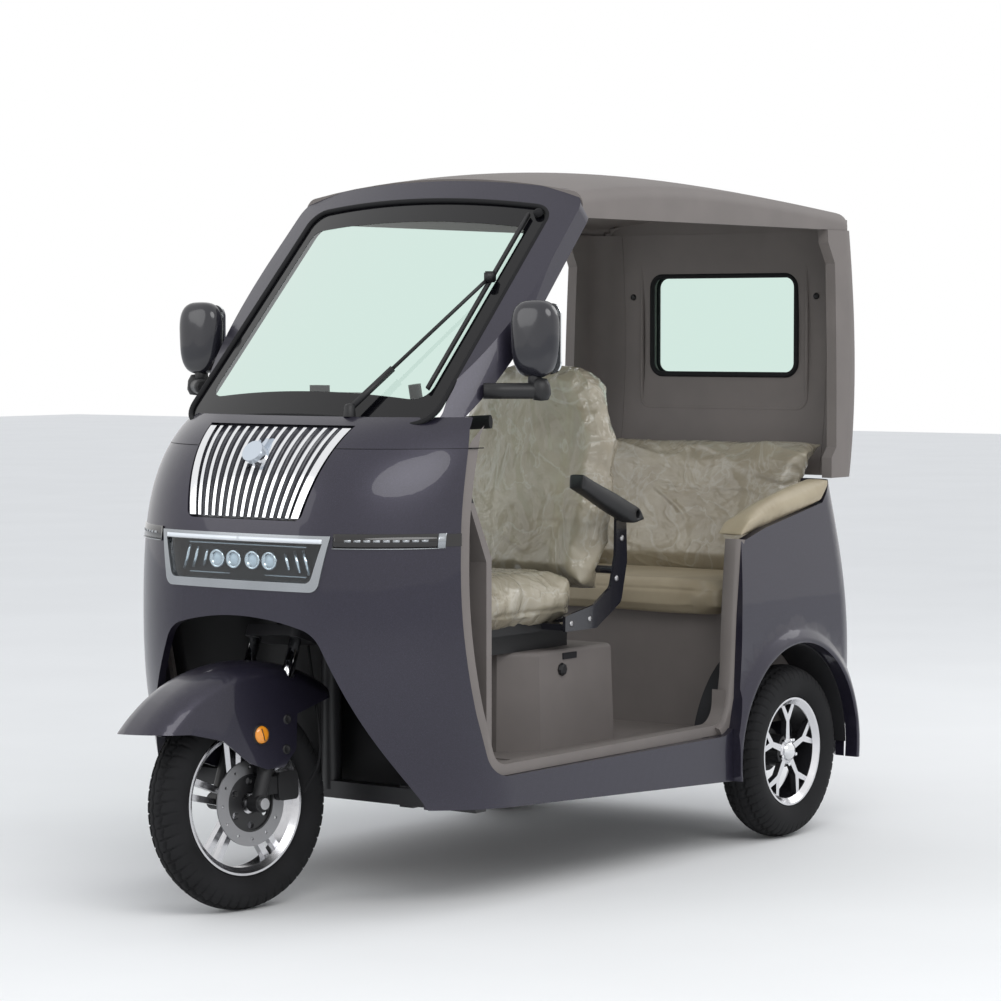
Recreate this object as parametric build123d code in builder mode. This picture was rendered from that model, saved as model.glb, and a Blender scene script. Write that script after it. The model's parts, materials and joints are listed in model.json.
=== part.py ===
from build123d import *
import os
from functools import cache
from math import atan2, cos, radians, sin, sqrt

# Open three wheeled passenger car: one steered front wheel, two rear wheels, a roof and no doors.
# Frame: +X forward, +Y to the vehicle's left, +Z up, origin on the ground under the middle of the
# overall box. Millimetres. Stations are distances from the front axle, positive forward.

# Main sizes
WHEELBASE = 1639.0
REAR_OVERHANG = 457.74
FENDER_REACH = 296.28
FRONT_AXLE_X = (WHEELBASE + REAR_OVERHANG - FENDER_REACH) / 2
REAR_AXLE_X = FRONT_AXLE_X - WHEELBASE
BODY_HALF = 482.0
BODY_REAR_HALF = 500.0
ROOF_HALF = 432.0
ROOF_TOP_Z = 1722.0
FLOOR_TOP_Z = 285.0
FLOOR_THICK = 20.0
SILL_TOP_Z = 302.0
SILL_BOTTOM_Z = 185.0
SILL_RISE = 60.0
BELT_SEAM_Z = 1055.0
SKIN = 22.0
GAP = 0.3
SEAM = 0.8
FIT = 0.08


def station(distance):
    """Row X of a place given by its distance ahead of the front axle."""
    return FRONT_AXLE_X + distance


# Wheels
FRONT_TYRE_R = 245.0
FRONT_TYRE_HALF = 46.0
FRONT_FLANGE_R = 166.0
FRONT_RIM_HALF = 30.0
REAR_TYRE_R = 225.0
REAR_TYRE_HALF = 54.0
REAR_FLANGE_R = 141.0
REAR_RIM_HALF = 42.0
REAR_TRACK_HALF = 443.0
BEAD_DROP = 12.0
FRONT_AXLE_R = 7.0
SPINDLE_R = 17.0
SPOKES = 5

# Steering
RAKE = 20.5
STEER_OFFSET = 35.0
STEER_REST = -10.0
LEG_HALF = 72.0
LEG_AHEAD = 33.0
SLIDER_R = 17.0
STANCHION_R = 13.5
YOKE_Z = 612.0
YOKE_THICK = 26.0
HEAD_Z = 705.0
HEAD_LENGTH = 150.0
HEAD_R = 30.0
STEM_R = 18.0
BAR_Z = 1075.0
BAR_BACK = 75.0
BAR_R = 11.0
GRIP_R = 16.0
GRIP_HALF = 322.0

# Windscreen: slope from level and the outer point at the middle of its base
SCREEN_SLOPE = 45.5
SCREEN_BASE_STATION = -195.0
SCREEN_BASE_Z = 1118.0
SCREEN_CROWN_R = 1850.0
SCREEN_LENGTH = 722.0
GLASS_THICK = 6.0
PILLAR_DEPTH = 45.0

# Side opening
DOOR_REAR_STATION = -1345.0
REAR_SPLIT_STATION = -1318.0

# Seats
SEAT_HALF = 250.0
SEAT_BASE_Z = 605.0
SEAT_TOP_Z = 715.0
BOX_HALF = 220.0
BOX_FRONT_STATION = -800.0
BOX_REAR_STATION = -1200.0
BOX_TOP_Z = 530.0
BENCH_FRONT_STATION = -1450.0
BENCH_HALF = 382.0
BENCH_TOP_Z = 660.0
BENCH_BOTTOM_Z = 598.0

os.makedirs("parts", exist_ok=True)


def save(builder, name):
    """Labels a finished piece and writes it."""
    builder.part.label = name
    export_step(builder.part, "parts/" + name + ".step")


# Nose: plan sections, each a crowned front between two rounded corners, lofted upwards
# Columns: height, station of the front, half width, corner radius
NOSE_CROWN_R = 2000.0
NOSE_SECTIONS = (
    (170.0, -30.0, BODY_HALF + 4, 330.0),
    (480.0, -4.0, BODY_HALF, 340.0),
    (760.0, 4.0, BODY_HALF, 340.0),
    (900.0, -12.0, BODY_HALF - 2, 340.0),
    (1000.0, -48.0, BODY_HALF - 8, 335.0),
    (1070.0, -100.0, BODY_HALF - 16, 325.0),
    (1125.0, -178.0, BODY_HALF - 26, 300.0),
)
# The same columns for the cabin above the nose, whose rounded corners trim the screen pillars
CABIN_SECTIONS = (
    NOSE_SECTIONS[-1],
    (1250.0, -290.0, 447.0, 205.0),
    (1420.0, -450.0, 438.0, 110.0),
    (1700.0, -700.0, 426.0, 70.0),
)


@cache
def plan_form(sections, inset, back_station):
    """Loft through plan sections, drawn in by the inset all round except at its open back."""
    with BuildPart() as form:
        for height, front, half, corner in sections:
            crown = NOSE_CROWN_R - inset
            rounding = corner - inset
            face_x = station(front) - inset
            side = half - inset
            rear_side = side + (BODY_REAR_HALF - BODY_HALF)
            arm = side - rounding
            centre_x = face_x - crown + sqrt((crown - rounding) ** 2 - arm ** 2)
            turn = atan2(arm, centre_x - face_x + crown)
            meet_x = centre_x + rounding * cos(turn)
            meet_y = arm + rounding * sin(turn)
            mid = (turn + radians(90)) / 2
            mid_x = centre_x + rounding * cos(mid)
            mid_y = arm + rounding * sin(mid)
            with BuildSketch(Plane.XY.offset(height)):
                with BuildLine():
                    ThreePointArc((meet_x, -meet_y), (face_x, 0), (meet_x, meet_y))
                    ThreePointArc((meet_x, meet_y), (mid_x, mid_y), (centre_x, side))
                    Line((centre_x, side), (station(back_station), rear_side))
                    Line((station(back_station), rear_side), (station(back_station), -rear_side))
                    Line((station(back_station), -rear_side), (centre_x, -side))
                    ThreePointArc((centre_x, -side), (mid_x, -mid_y), (meet_x, -meet_y))
                make_face()
        loft()
    return form.part


def nose_form(inset, back_station):
    """The nose as one solid."""
    return plan_form(NOSE_SECTIONS, inset, back_station)


nose_outer = nose_form(0.0, REAR_SPLIT_STATION)
nose_inner = nose_form(SKIN, REAR_SPLIT_STATION - 40)

# Front view of the wheel arch, and side view of the opening behind the nose
with BuildSketch(Plane.YZ) as arch_face:
    with BuildLine():
        ThreePointArc((-215, 640), (0, 674), (215, 640))
        Polyline((215, 640), (392, 270), (470, 100), (-470, 100), (-392, 270), (-215, 640))
    make_face()
    fillet(arch_face.vertices().group_by(Axis.Y)[-1], 75)
arch_cut = extrude(arch_face.sketch.moved(Location((station(-190), 0, 0))), 400, dir=(1, 0, 0))

with BuildSketch(Plane.XZ) as door_face:
    with BuildLine():
        Line((station(-408), 1200), (station(-312), 1100))
        ThreePointArc((station(-312), 1100), (station(-248), 950), (station(-231), 830))
        ThreePointArc((station(-231), 830), (station(-238), 620), (station(-275), 450))
        Polyline((station(-275), 450), (station(-330), SILL_TOP_Z), (station(DOOR_REAR_STATION), SILL_TOP_Z),
                 (station(-1372), 800), (station(-1372), 1200), (station(-408), 1200))
    make_face()
    fillet(door_face.vertices().group_by(Axis.Y)[0], 80)
door_cut = extrude(door_face.sketch, 700, both=True)

UNDER_REACH_Z = -200.0
with BuildSketch(Plane.XZ) as under_face:
    with BuildLine():
        Polyline((station(200), UNDER_REACH_Z), (station(200), SILL_BOTTOM_Z + SILL_RISE + 18),
                 (station(-60), SILL_BOTTOM_Z + SILL_RISE), (station(REAR_SPLIT_STATION), SILL_BOTTOM_Z),
                 (station(-2300), SILL_BOTTOM_Z), (station(-2300), UNDER_REACH_Z), close=True)
    make_face()
under_cut = extrude(under_face.sketch, 700, both=True)

# Front apron: nose skin, wheel arch, and the sill that runs back under each side opening
GRILLE_LOW_Z = 893.0
GRILLE_TOP_Z = 1106.0
GRILLE_LOW_HALF = 168.0
GRILLE_TOP_HALF = 216.0
LAMP_HALF = 250.0
LAMP_TOP_Z = 862.0
LAMP_BOTTOM_Z = 735.0

with BuildSketch(Plane.YZ) as grille_face:
    with BuildLine():
        Polyline((-GRILLE_LOW_HALF, GRILLE_LOW_Z), (GRILLE_LOW_HALF, GRILLE_LOW_Z),
                 (GRILLE_TOP_HALF, GRILLE_TOP_Z), (-GRILLE_TOP_HALF, GRILLE_TOP_Z), close=True)
    make_face()
    fillet(grille_face.vertices().group_by(Axis.Y)[0], 22)
grille_cut = extrude(grille_face.sketch.moved(Location((station(-300), 0, 0))), 400, dir=(1, 0, 0))

with BuildSketch(Plane.YZ) as lamp_face:
    with BuildLine():
        Polyline((-LAMP_HALF + 26, LAMP_BOTTOM_Z), (LAMP_HALF - 26, LAMP_BOTTOM_Z),
                 (LAMP_HALF, LAMP_TOP_Z), (-LAMP_HALF, LAMP_TOP_Z), close=True)
    make_face()
    fillet(lamp_face.vertices().group_by(Axis.Y)[0], 24)
lamp_cut = extrude(lamp_face.sketch.moved(Location((station(-120), 0, 0))), 300, dir=(1, 0, 0))

# Turn lamps: strips let into the apron's sides between the headlamp and the side opening
TURN_LOW_Z = 838.0
TURN_HIGH_Z = 866.0
TURN_DEPTH = 8.0
turn_block = Part()
for side_sign in (-1, 1):
    turn_block += Pos(station(-100), side_sign * (LAMP_HALF + 206), (TURN_LOW_Z + TURN_HIGH_Z) / 2) * Box(
        290, 400, TURN_HIGH_Z - TURN_LOW_Z)
turn_recess = turn_block - nose_form(TURN_DEPTH, -1000)

with BuildPart() as front_apron:
    add(nose_outer)
    add(nose_inner, mode=Mode.SUBTRACT)
    add(under_cut, mode=Mode.SUBTRACT)
    add(arch_cut, mode=Mode.SUBTRACT)
    add(door_cut, mode=Mode.SUBTRACT)
    add(grille_cut, mode=Mode.SUBTRACT)
    add(lamp_cut, mode=Mode.SUBTRACT)
    add(turn_recess, mode=Mode.SUBTRACT)
    split(bisect_by=Plane.XY.offset(BELT_SEAM_Z), keep=Keep.BOTTOM)
save(front_apron, "front_apron")

# Windscreen frame: cowl, screen pillars and header in one moulding around the glass
slope = radians(SCREEN_SLOPE)
up_slope = Vector(-cos(slope), 0, sin(slope))
out_slope = Vector(sin(slope), 0, cos(slope))
screen_base = Vector(station(SCREEN_BASE_STATION), 0, SCREEN_BASE_Z)
screen_plane = Plane(origin=screen_base, x_dir=(0, 1, 0), z_dir=out_slope)


def screen_slab(outer_rise, thick):
    """Curved sheet along the screen: its outer face stands outer_rise above the glass surface."""
    base = screen_base - up_slope * 200
    section = Plane(origin=base, x_dir=(0, 1, 0), z_dir=up_slope)
    radius = SCREEN_CROWN_R + outer_rise
    inner = radius - thick
    reach = 520.0
    with BuildPart() as slab:
        with BuildSketch(section):
            with BuildLine():
                centre_y = SCREEN_CROWN_R
                high = centre_y - sqrt(radius ** 2 - reach ** 2)
                low = centre_y - sqrt(inner ** 2 - reach ** 2)
                ThreePointArc((-reach, high), (0, centre_y - radius), (reach, high))
                Line((reach, high), (reach, low))
                ThreePointArc((reach, low), (0, centre_y - inner), (-reach, low))
                Line((-reach, low), (-reach, high))
            make_face()
        extrude(amount=SCREEN_LENGTH + 400)
    return slab.part


def screen_outline(low, high, low_half, high_half, corner, low_corner):
    """Prism normal to the screen with the given outline, low and high being places up the slope."""
    with BuildPart() as prism:
        with BuildSketch(screen_plane.offset(-300)) as outline:
            with BuildLine():
                Polyline((-low_half, low), (low_half, low), (high_half, high), (-high_half, high),
                         close=True)
            make_face()
            if corner:
                fillet(outline.vertices().group_by(Axis.Y)[-1], corner)
            if low_corner:
                fillet(outline.vertices().group_by(Axis.Y)[0], low_corner)
        extrude(amount=400)
    return prism.part


GLASS_LOW = 4.0
GLASS_HALF_LOW = 372.0
GLASS_HALF_HIGH = 366.0
FRAME_RISE = 7.0
FRAME_LOW = -70.0
FRAME_HIGH = 790.0
FRAME_HALF_LOW = 452.0
FRAME_HALF_HIGH = 428.0

glass_outline = screen_outline(GLASS_LOW, GLASS_LOW + SCREEN_LENGTH, GLASS_HALF_LOW, GLASS_HALF_HIGH,
                               45.0, 75.0)
with BuildPart() as windscreen_frame:
    add(screen_slab(FRAME_RISE, PILLAR_DEPTH))
    add(screen_outline(FRAME_LOW, FRAME_HIGH, FRAME_HALF_LOW, FRAME_HALF_HIGH, 60.0, 0.0),
        mode=Mode.INTERSECT)
    add(glass_outline, mode=Mode.SUBTRACT)
    split(bisect_by=Plane.XY.offset(BELT_SEAM_Z + SEAM), keep=Keep.TOP)
    add(nose_outer + plan_form(CABIN_SECTIONS, 0.0, REAR_SPLIT_STATION), mode=Mode.INTERSECT)
nose_cowl = split(nose_outer - nose_inner, Plane.XY.offset(BELT_SEAM_Z + SEAM), keep=Keep.TOP)
nose_cowl = nose_cowl - grille_cut - door_cut
with BuildPart() as windscreen_frame_whole:
    add(windscreen_frame.part)
    add(nose_cowl)
    add(door_cut, mode=Mode.SUBTRACT)
save(windscreen_frame_whole, "windscreen_frame")

with BuildPart() as windscreen_glass:
    add(screen_slab(0.0, GLASS_THICK))
    add(screen_outline(GLASS_LOW + 1, GLASS_LOW + SCREEN_LENGTH - 1, GLASS_HALF_LOW - 1,
                       GLASS_HALF_HIGH - 1, 44.0, 74.0), mode=Mode.INTERSECT)
    add(nose_outer, mode=Mode.SUBTRACT)
save(windscreen_glass, "windscreen_glass")

# Rear body below the belt: plan sections with rounded rear corners, lofted upwards
# Columns: height, half width, station of the rear face, corner radius
REAR_SECTIONS = [
    (170.0, BODY_REAR_HALF, -1968.0, 120.0),
    (420.0, BODY_REAR_HALF + 6, -1972.0, 120.0),
    (620.0, BODY_REAR_HALF + 4, -1962.0, 120.0),
    (800.0, BODY_REAR_HALF - 14, -1940.0, 115.0),
    (960.0, BODY_REAR_HALF - 34, -1915.0, 110.0),
]


def rear_form(inset, front_station):
    """The lower rear body as one solid, drawn in by the inset except at its open front."""
    with BuildPart() as form:
        for height, half, rear, corner in REAR_SECTIONS:
            side = half - inset
            back = station(rear) + inset
            rounding = corner - inset
            with BuildSketch(Plane.XY.offset(height)) as section:
                with BuildLine():
                    Polyline((station(front_station), -side), (back, -side), (back, side),
                             (station(front_station), side), close=True)
                make_face()
                fillet(section.vertices().group_by(Axis.X)[0], rounding)
        loft()
    return form.part


ARCH_STATION = -1618.0
ARCH_Z = 225.0
ARCH_R = 288.0
REAR_PANEL_HALF = 372.0
QUARTER_TOP_FRONT_Z = 792.0
QUARTER_TOP_REAR_Z = 868.0
BELT_Z = 925.0

with BuildSketch(Plane.XZ) as quarter_top_face:
    with BuildLine():
        Polyline((station(-1300), QUARTER_TOP_FRONT_Z - 14), (station(-1405), QUARTER_TOP_FRONT_Z),
                 (station(-1500), QUARTER_TOP_FRONT_Z + 24), (station(-1800), QUARTER_TOP_REAR_Z),
                 (station(-1862), BELT_Z), (station(-2300), BELT_Z), (station(-2300), 1200),
                 (station(-1300), 1200), close=True)
    make_face()
quarter_top_cut = extrude(quarter_top_face.sketch, 700, both=True)

with BuildSketch(Plane.XZ) as quarter_front_face:
    with BuildLine():
        Polyline((station(-1200), 100), (station(REAR_SPLIT_STATION) - SEAM, 100),
                 (station(REAR_SPLIT_STATION) - SEAM, SILL_TOP_Z), (station(DOOR_REAR_STATION), SILL_TOP_Z + 90),
                 (station(-1358), 600), (station(-1380), 800), (station(-1380), 1000), (station(-1200), 1000),
                 close=True)
    make_face()
quarter_front_cut = extrude(quarter_front_face.sketch, 700, both=True)

with BuildPart() as wheel_hole:
    with BuildSketch(Plane.XZ):
        with Locations((station(ARCH_STATION), ARCH_Z)):
            Circle(ARCH_R)
        with Locations((station(ARCH_STATION), ARCH_Z - 150)):
            Rectangle(2 * ARCH_R, 300)
    extrude(amount=700, both=True)

rear_shell = rear_form(0.0, REAR_SPLIT_STATION) - rear_form(SKIN, REAR_SPLIT_STATION + 40)
rear_shell = rear_shell - under_cut - quarter_top_cut - quarter_front_cut - wheel_hole.part
with BuildPart() as rear_panel:
    add(rear_shell)
    with BuildSketch(Plane.YZ.offset(station(-1900))):
        Rectangle(2 * REAR_PANEL_HALF, 4000)
    extrude(amount=-400, mode=Mode.INTERSECT)
save(rear_panel, "rear_panel")
FLARE_R = 338.0
FLARE_HALF = 528.0
for side_name, side_sign in (("left", 1), ("right", -1)):
    with BuildPart() as flare:
        with BuildSketch(Plane(origin=(station(ARCH_STATION), 0, ARCH_Z), x_dir=(0, 0, 1), z_dir=(-1, 0, 0))):
            with BuildLine():
                Polyline((ARCH_R, side_sign * 490), (ARCH_R, side_sign * (FLARE_HALF - 3)),
                         (ARCH_R + 5, side_sign * FLARE_HALF), (ARCH_R + 14, side_sign * (FLARE_HALF - 2)),
                         (FLARE_R, side_sign * 502), (FLARE_R, side_sign * 490), close=True)
            make_face()
        revolve(axis=Axis((station(ARCH_STATION), 0, ARCH_Z), (0, 1, 0)))
    flare_ring = flare.part - under_cut - quarter_front_cut
    with BuildPart() as quarter_panel:
        add(rear_shell)
        with Locations((station(-1600), side_sign * (REAR_PANEL_HALF + SEAM + 500), 500)):
            Box(1200, 1000, 2000, mode=Mode.INTERSECT)
        add(flare_ring)
    save(quarter_panel, "quarter_panel_" + side_name)

# Upper rear body: one form gives the rear wall and the two corner pillars
# Columns: height, half width, station of the rear face, corner radius
UPPER_SECTIONS = [
    (BELT_Z + 3, 446.0, -2060.0, 90.0),
    (1150.0, 444.0, -2092.0, 95.0),
    (1400.0, 438.0, -2094.0, 95.0),
    (1640.0, 428.0, -2074.0, 90.0),
]
WALL = 30.0


def upper_form(inset):
    """The upper rear cabin as one solid, drawn in by the inset except at its open front."""
    with BuildPart() as form:
        for height, half, rear, corner in UPPER_SECTIONS:
            side = half - inset
            back = station(rear) + inset
            with BuildSketch(Plane.XY.offset(height)) as section:
                with BuildLine():
                    Polyline((station(-1700), -side), (back, -side), (back, side), (station(-1700), side),
                             close=True)
                make_face()
                fillet(section.vertices().group_by(Axis.X)[0], corner - inset)
        loft()
    return form.part


ROOF_SIDE_LOW_Z = 1590.0
WINDOW_HALF = 236.0
WINDOW_LOW_Z = 1199.0
WINDOW_HIGH_Z = 1474.0
WINDOW_CORNER = 34.0
COLUMN_HALF = 330.0
upper_shell = upper_form(0.0) - upper_form(WALL)
with BuildSketch(Plane.XZ) as pillar_face:
    with BuildLine():
        Polyline((station(-1600), 900), (station(-1868), 900), (station(-1880), 960), (station(-1925), 1010),
                 (station(-1932), 1500), (station(-1880), ROOF_SIDE_LOW_Z), (station(-1600), ROOF_SIDE_LOW_Z),
                 close=True)
    make_face()
pillar_cut = extrude(pillar_face.sketch, 700, both=True)
upper_shell = upper_shell - pillar_cut - Pos(station(-1700), 0, 1300) * Box(400, 1400, 900)
upper_shell = split(upper_shell, Plane.XY.offset(ROOF_SIDE_LOW_Z - GAP), keep=Keep.BOTTOM)

with BuildPart() as rear_wall:
    add(upper_shell)
    with Locations((station(-2100), 0, 1200)):
        Box(400, 2 * COLUMN_HALF, 1400, mode=Mode.INTERSECT)
    with BuildSketch(Plane.YZ.offset(station(-2200))):
        with Locations((0, (WINDOW_LOW_Z + WINDOW_HIGH_Z) / 2)):
            RectangleRounded(2 * WINDOW_HALF, WINDOW_HIGH_Z - WINDOW_LOW_Z, WINDOW_CORNER)
    extrude(amount=400, mode=Mode.SUBTRACT)
save(rear_wall, "rear_wall")

with BuildPart() as rear_window:
    with BuildSketch(Plane.YZ.offset(station(-2082))):
        with Locations((0, (WINDOW_LOW_Z + WINDOW_HIGH_Z) / 2)):
            RectangleRounded(2 * (WINDOW_HALF - GAP), WINDOW_HIGH_Z - WINDOW_LOW_Z - 2 * GAP, WINDOW_CORNER)
    extrude(amount=5)
save(rear_window, "rear_window")

with BuildPart() as corner_pillars:
    add(upper_shell)
    with Locations((station(-2100), 0, 1200)):
        Box(400, 2 * (COLUMN_HALF + SEAM), 1400, mode=Mode.SUBTRACT)
save(corner_pillars, "corner_pillars")

# Roof: cross sections from the header seam to the tail, lofted backwards
# Columns: station, crown height, edge height, half width
ROOF_SECTIONS = [
    (-760.0, 1692.0, 1648.0, ROOF_HALF - 6),
    (-1130.0, ROOF_TOP_Z, 1672.0, ROOF_HALF),
    (-1600.0, 1708.0, 1660.0, ROOF_HALF),
    (-2088.0, 1660.0, 1625.0, ROOF_HALF - 6),
]
ROOF_THICK = 24.0


def roof_form(inset, low_z):
    """The roof as one solid, its top and sides drawn in by the inset, its underside level."""
    with BuildPart() as form:
        for place, crown, edge, half in ROOF_SECTIONS:
            side = half - inset
            with BuildSketch(Plane.YZ.offset(station(place))) as section:
                with BuildLine():
                    ThreePointArc((-side, edge - inset), (0, crown - inset), (side, edge - inset))
                    Polyline((side, edge - inset), (side, low_z), (-side, low_z), (-side, edge - inset))
                make_face()
                fillet(section.vertices().group_by(Axis.Y)[-1], 26 - inset / 2)
        loft()
    return form.part


header_zone = screen_slab(FRAME_RISE + 200, PILLAR_DEPTH + 200 + SEAM)
header_zone &= screen_outline(-400, FRAME_HIGH + SEAM, 600, 600, 0, 0)
with BuildPart() as roof:
    add(roof_form(0.0, ROOF_SIDE_LOW_Z))
    add(roof_form(ROOF_THICK, ROOF_SIDE_LOW_Z - 20), mode=Mode.SUBTRACT)
    add(header_zone, mode=Mode.SUBTRACT)
save(roof, "roof")

# Wheels: tyre and rim turned about the axle line, spokes and hub repeated round it


def wheel_plane(centre):
    """Plane of a wheel's half section: x is the radius, y the distance along the axle."""
    return Plane(origin=centre, x_dir=(0, 0, 1), z_dir=(-1, 0, 0))


def make_tyre(centre, outer_r, half, flange_r, rim_half):
    """Solid tyre with a rounded crown, seated between the rim's flanges."""
    bead = rim_half - 9
    bead_r = flange_r - BEAD_DROP + GAP
    wide_r = (flange_r + outer_r) / 2 + 3
    shoulder_r = outer_r - 15
    with BuildPart() as tyre:
        with BuildSketch(wheel_plane(centre)):
            with BuildLine():
                ThreePointArc((shoulder_r, -half + 9), (outer_r, 0), (shoulder_r, half - 9))
                ThreePointArc((shoulder_r, half - 9), (wide_r, half), (flange_r + 3, rim_half + 1))
                Polyline((flange_r + 3, rim_half + 1), (flange_r + 1, bead - 2), (bead_r, bead - 2),
                         (bead_r, 2 - bead), (flange_r + 1, 2 - bead), (flange_r + 3, -rim_half - 1))
                ThreePointArc((flange_r + 3, -rim_half - 1), (wide_r, -half), (shoulder_r, -half + 9))
            make_face()
        revolve(axis=Axis(centre, (0, 1, 0)))
    return tyre.part


def rim_barrel(centre, flange_r, rim_half):
    """Rim barrel with a flange at each edge."""
    well_r = flange_r - BEAD_DROP
    with BuildPart() as barrel:
        with BuildSketch(wheel_plane(centre)):
            with BuildLine():
                Polyline((flange_r, -rim_half), (flange_r, -rim_half + 3), (well_r, -rim_half + 8),
                         (well_r, rim_half - 8), (flange_r, rim_half - 3), (flange_r, rim_half),
                         (flange_r - 5, rim_half), (well_r - 6, rim_half - 12), (well_r - 6, 12 - rim_half),
                         (flange_r - 5, -rim_half), close=True)
            make_face()
        revolve(axis=Axis(centre, (0, 1, 0)))
    return barrel.part


def turned(centre, profile):
    """Solid of revolution about an axle line from (radius, distance along the axle) points."""
    with BuildPart() as shape:
        with BuildSketch(wheel_plane(centre)):
            with BuildLine():
                Polyline(*profile, close=True)
            make_face()
        revolve(axis=Axis(centre, (0, 1, 0)))
    return shape.part


def around(piece, centre, count, first=0.0):
    """Copies of a piece set evenly round an axle line."""
    axle = Axis(centre, (0, 1, 0))
    return [piece.rotate(axle, first + 360 / count * i) for i in range(count)]


front_hub = (FRONT_AXLE_X, 0, FRONT_TYRE_R)
FRONT_HUB_HALF = 40.0
FRONT_HUB_R = 24.0
DISC_R = 98.0
DISC_Y = 44.0
DISC_THICK = 4.0

with BuildPart() as front_spoke:
    for lean in (-1, 1):
        with BuildSketch(Plane.XZ.offset(-9)):
            with BuildLine():
                root = FRONT_HUB_R - 6
                tip = FRONT_FLANGE_R - BEAD_DROP - 4
                Polyline((front_hub[0] + lean * 4, front_hub[2] + root),
                         (front_hub[0] + lean * 17, front_hub[2] + root),
                         (front_hub[0] + lean * 26, front_hub[2] + tip),
                         (front_hub[0] + lean * 11, front_hub[2] + tip), close=True)
            make_face()
        extrude(amount=18)

with BuildPart() as front_rim_straight:
    add(rim_barrel(front_hub, FRONT_FLANGE_R, FRONT_RIM_HALF))
    add(turned(front_hub, [(FRONT_AXLE_R + FIT, -FRONT_HUB_HALF), (FRONT_HUB_R, -FRONT_HUB_HALF),
                           (FRONT_HUB_R, -20), (FRONT_HUB_R + 9, -10), (FRONT_HUB_R + 9, 10),
                           (FRONT_HUB_R, 20), (FRONT_HUB_R, FRONT_HUB_HALF),
                           (FRONT_AXLE_R + FIT, FRONT_HUB_HALF)]))
    for spoke in around(front_spoke.part, front_hub, SPOKES):
        add(spoke)

disc_profile = [(62, DISC_Y), (DISC_R, DISC_Y), (DISC_R, DISC_Y + DISC_THICK), (62, DISC_Y + DISC_THICK)]
carrier_profile = [(FRONT_HUB_R + 0.5, FRONT_HUB_HALF - 10), (FRONT_HUB_R + 14, FRONT_HUB_HALF - 10),
                   (66, DISC_Y - 6), (66, DISC_Y), (FRONT_HUB_R + 0.5, DISC_Y)]
disc_ring = turned(front_hub, disc_profile)
for hole in around(Pos(front_hub[0], DISC_Y + DISC_THICK / 2, front_hub[2] + 82)
                   * Rot(90, 0, 0) * Cylinder(3.5, 12), front_hub, 12):
    disc_ring -= hole
carrier = turned(front_hub, carrier_profile)
for hole in around(Pos(front_hub[0], DISC_Y, front_hub[2] + 50) * Rot(90, 0, 0) * Cylinder(9, 40),
                   front_hub, 6):
    carrier -= hole

# Fork, built straight ahead and then turned to its parked angle
steer_foot = Vector(station(-STEER_OFFSET), 0, FRONT_TYRE_R)
steer_up = Vector(-sin(radians(RAKE)), 0, cos(radians(RAKE)))
steer_ahead = Vector(cos(radians(RAKE)), 0, sin(radians(RAKE)))


def on_steer(height, ahead=0.0, side=0.0):
    """Place at a height on the steering axis, moved ahead square to it and sideways."""
    climb = (height - FRONT_TYRE_R) / cos(radians(RAKE))
    return steer_foot + steer_up * climb + steer_ahead * ahead + Vector(0, side, 0)


def steer_plane(height, ahead=0.0, side=0.0):
    """Plane square to the steering axis at a height; its x points ahead."""
    return Plane(origin=on_steer(height, ahead, side), x_dir=steer_ahead, z_dir=steer_up)


def rod(start, end, radius):
    """Round bar between two points."""
    line = Vector(*end) - Vector(*start)
    middle = Vector(*start) + line * 0.5
    return Plane(origin=middle, z_dir=line) * Cylinder(radius, line.length, mode=Mode.PRIVATE)


HEAD_HALF = HEAD_LENGTH / 2 * cos(radians(RAKE))
SLIDER_TOP_Z = 430.0
STANCHION_TOP_Z = YOKE_Z + 10

with BuildPart() as fork_yoke:
    with BuildSketch(steer_plane(YOKE_Z)):
        with Locations((LEG_AHEAD / 2, 0)):
            RectangleRounded(LEG_AHEAD + 46, 2 * LEG_HALF + 44, 18)
    extrude(amount=YOKE_THICK / 2, both=True)
    for side_sign in (-1, 1):
        add(rod(on_steer(SLIDER_TOP_Z + GAP, LEG_AHEAD, side_sign * LEG_HALF),
                on_steer(STANCHION_TOP_Z, LEG_AHEAD, side_sign * LEG_HALF), STANCHION_R))
    add(rod(on_steer(YOKE_Z), on_steer(BAR_Z - 20), STEM_R))

with BuildPart() as fork_sliders:
    for side_sign in (-1, 1):
        low = Vector(front_hub[0], side_sign * LEG_HALF, front_hub[2])
        add(rod(on_steer(FRONT_TYRE_R - 4, LEG_AHEAD, side_sign * LEG_HALF),
                on_steer(SLIDER_TOP_Z, LEG_AHEAD, side_sign * LEG_HALF), SLIDER_R))
        add(rod(low - Vector(0, SLIDER_R, 0), low + Vector(0, SLIDER_R, 0), 20))
    add(rod((front_hub[0], -120, front_hub[2]), (front_hub[0], 120, front_hub[2]), FRONT_AXLE_R + FIT),
        mode=Mode.SUBTRACT)

with BuildPart() as front_axle:
    add(rod((front_hub[0], -LEG_HALF - 25, front_hub[2]), (front_hub[0], LEG_HALF + 25, front_hub[2]),
            FRONT_AXLE_R))
    for side_sign in (-1, 1):
        nut = side_sign * (LEG_HALF + SLIDER_R)
        add(rod((front_hub[0], nut, front_hub[2]), (front_hub[0], nut + side_sign * 9, front_hub[2]), 13))

# Fender: a channel turned about its own centre, its side outline cut from a profile
FENDER_R = 408.0
FENDER_THICK = 4.0
FENDER_INNER_R = 120.0
# Half of the channel's cross section: drop from the crown, distance from the middle
FENDER_PROFILE = [(0.0, 24.0), (6.0, 56.0), (19.0, 80.0), (42.0, 94.0)]
fender_centre = (station(-11), 0, 160)


def channel_points(inset):
    """Half of the channel's outline, drawn in by the inset, from its crown to its lower edge."""
    points = [(FENDER_R - drop - inset, across - inset) for drop, across in FENDER_PROFILE]
    return points + [(FENDER_INNER_R, FENDER_PROFILE[-1][1] - inset)]


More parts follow.
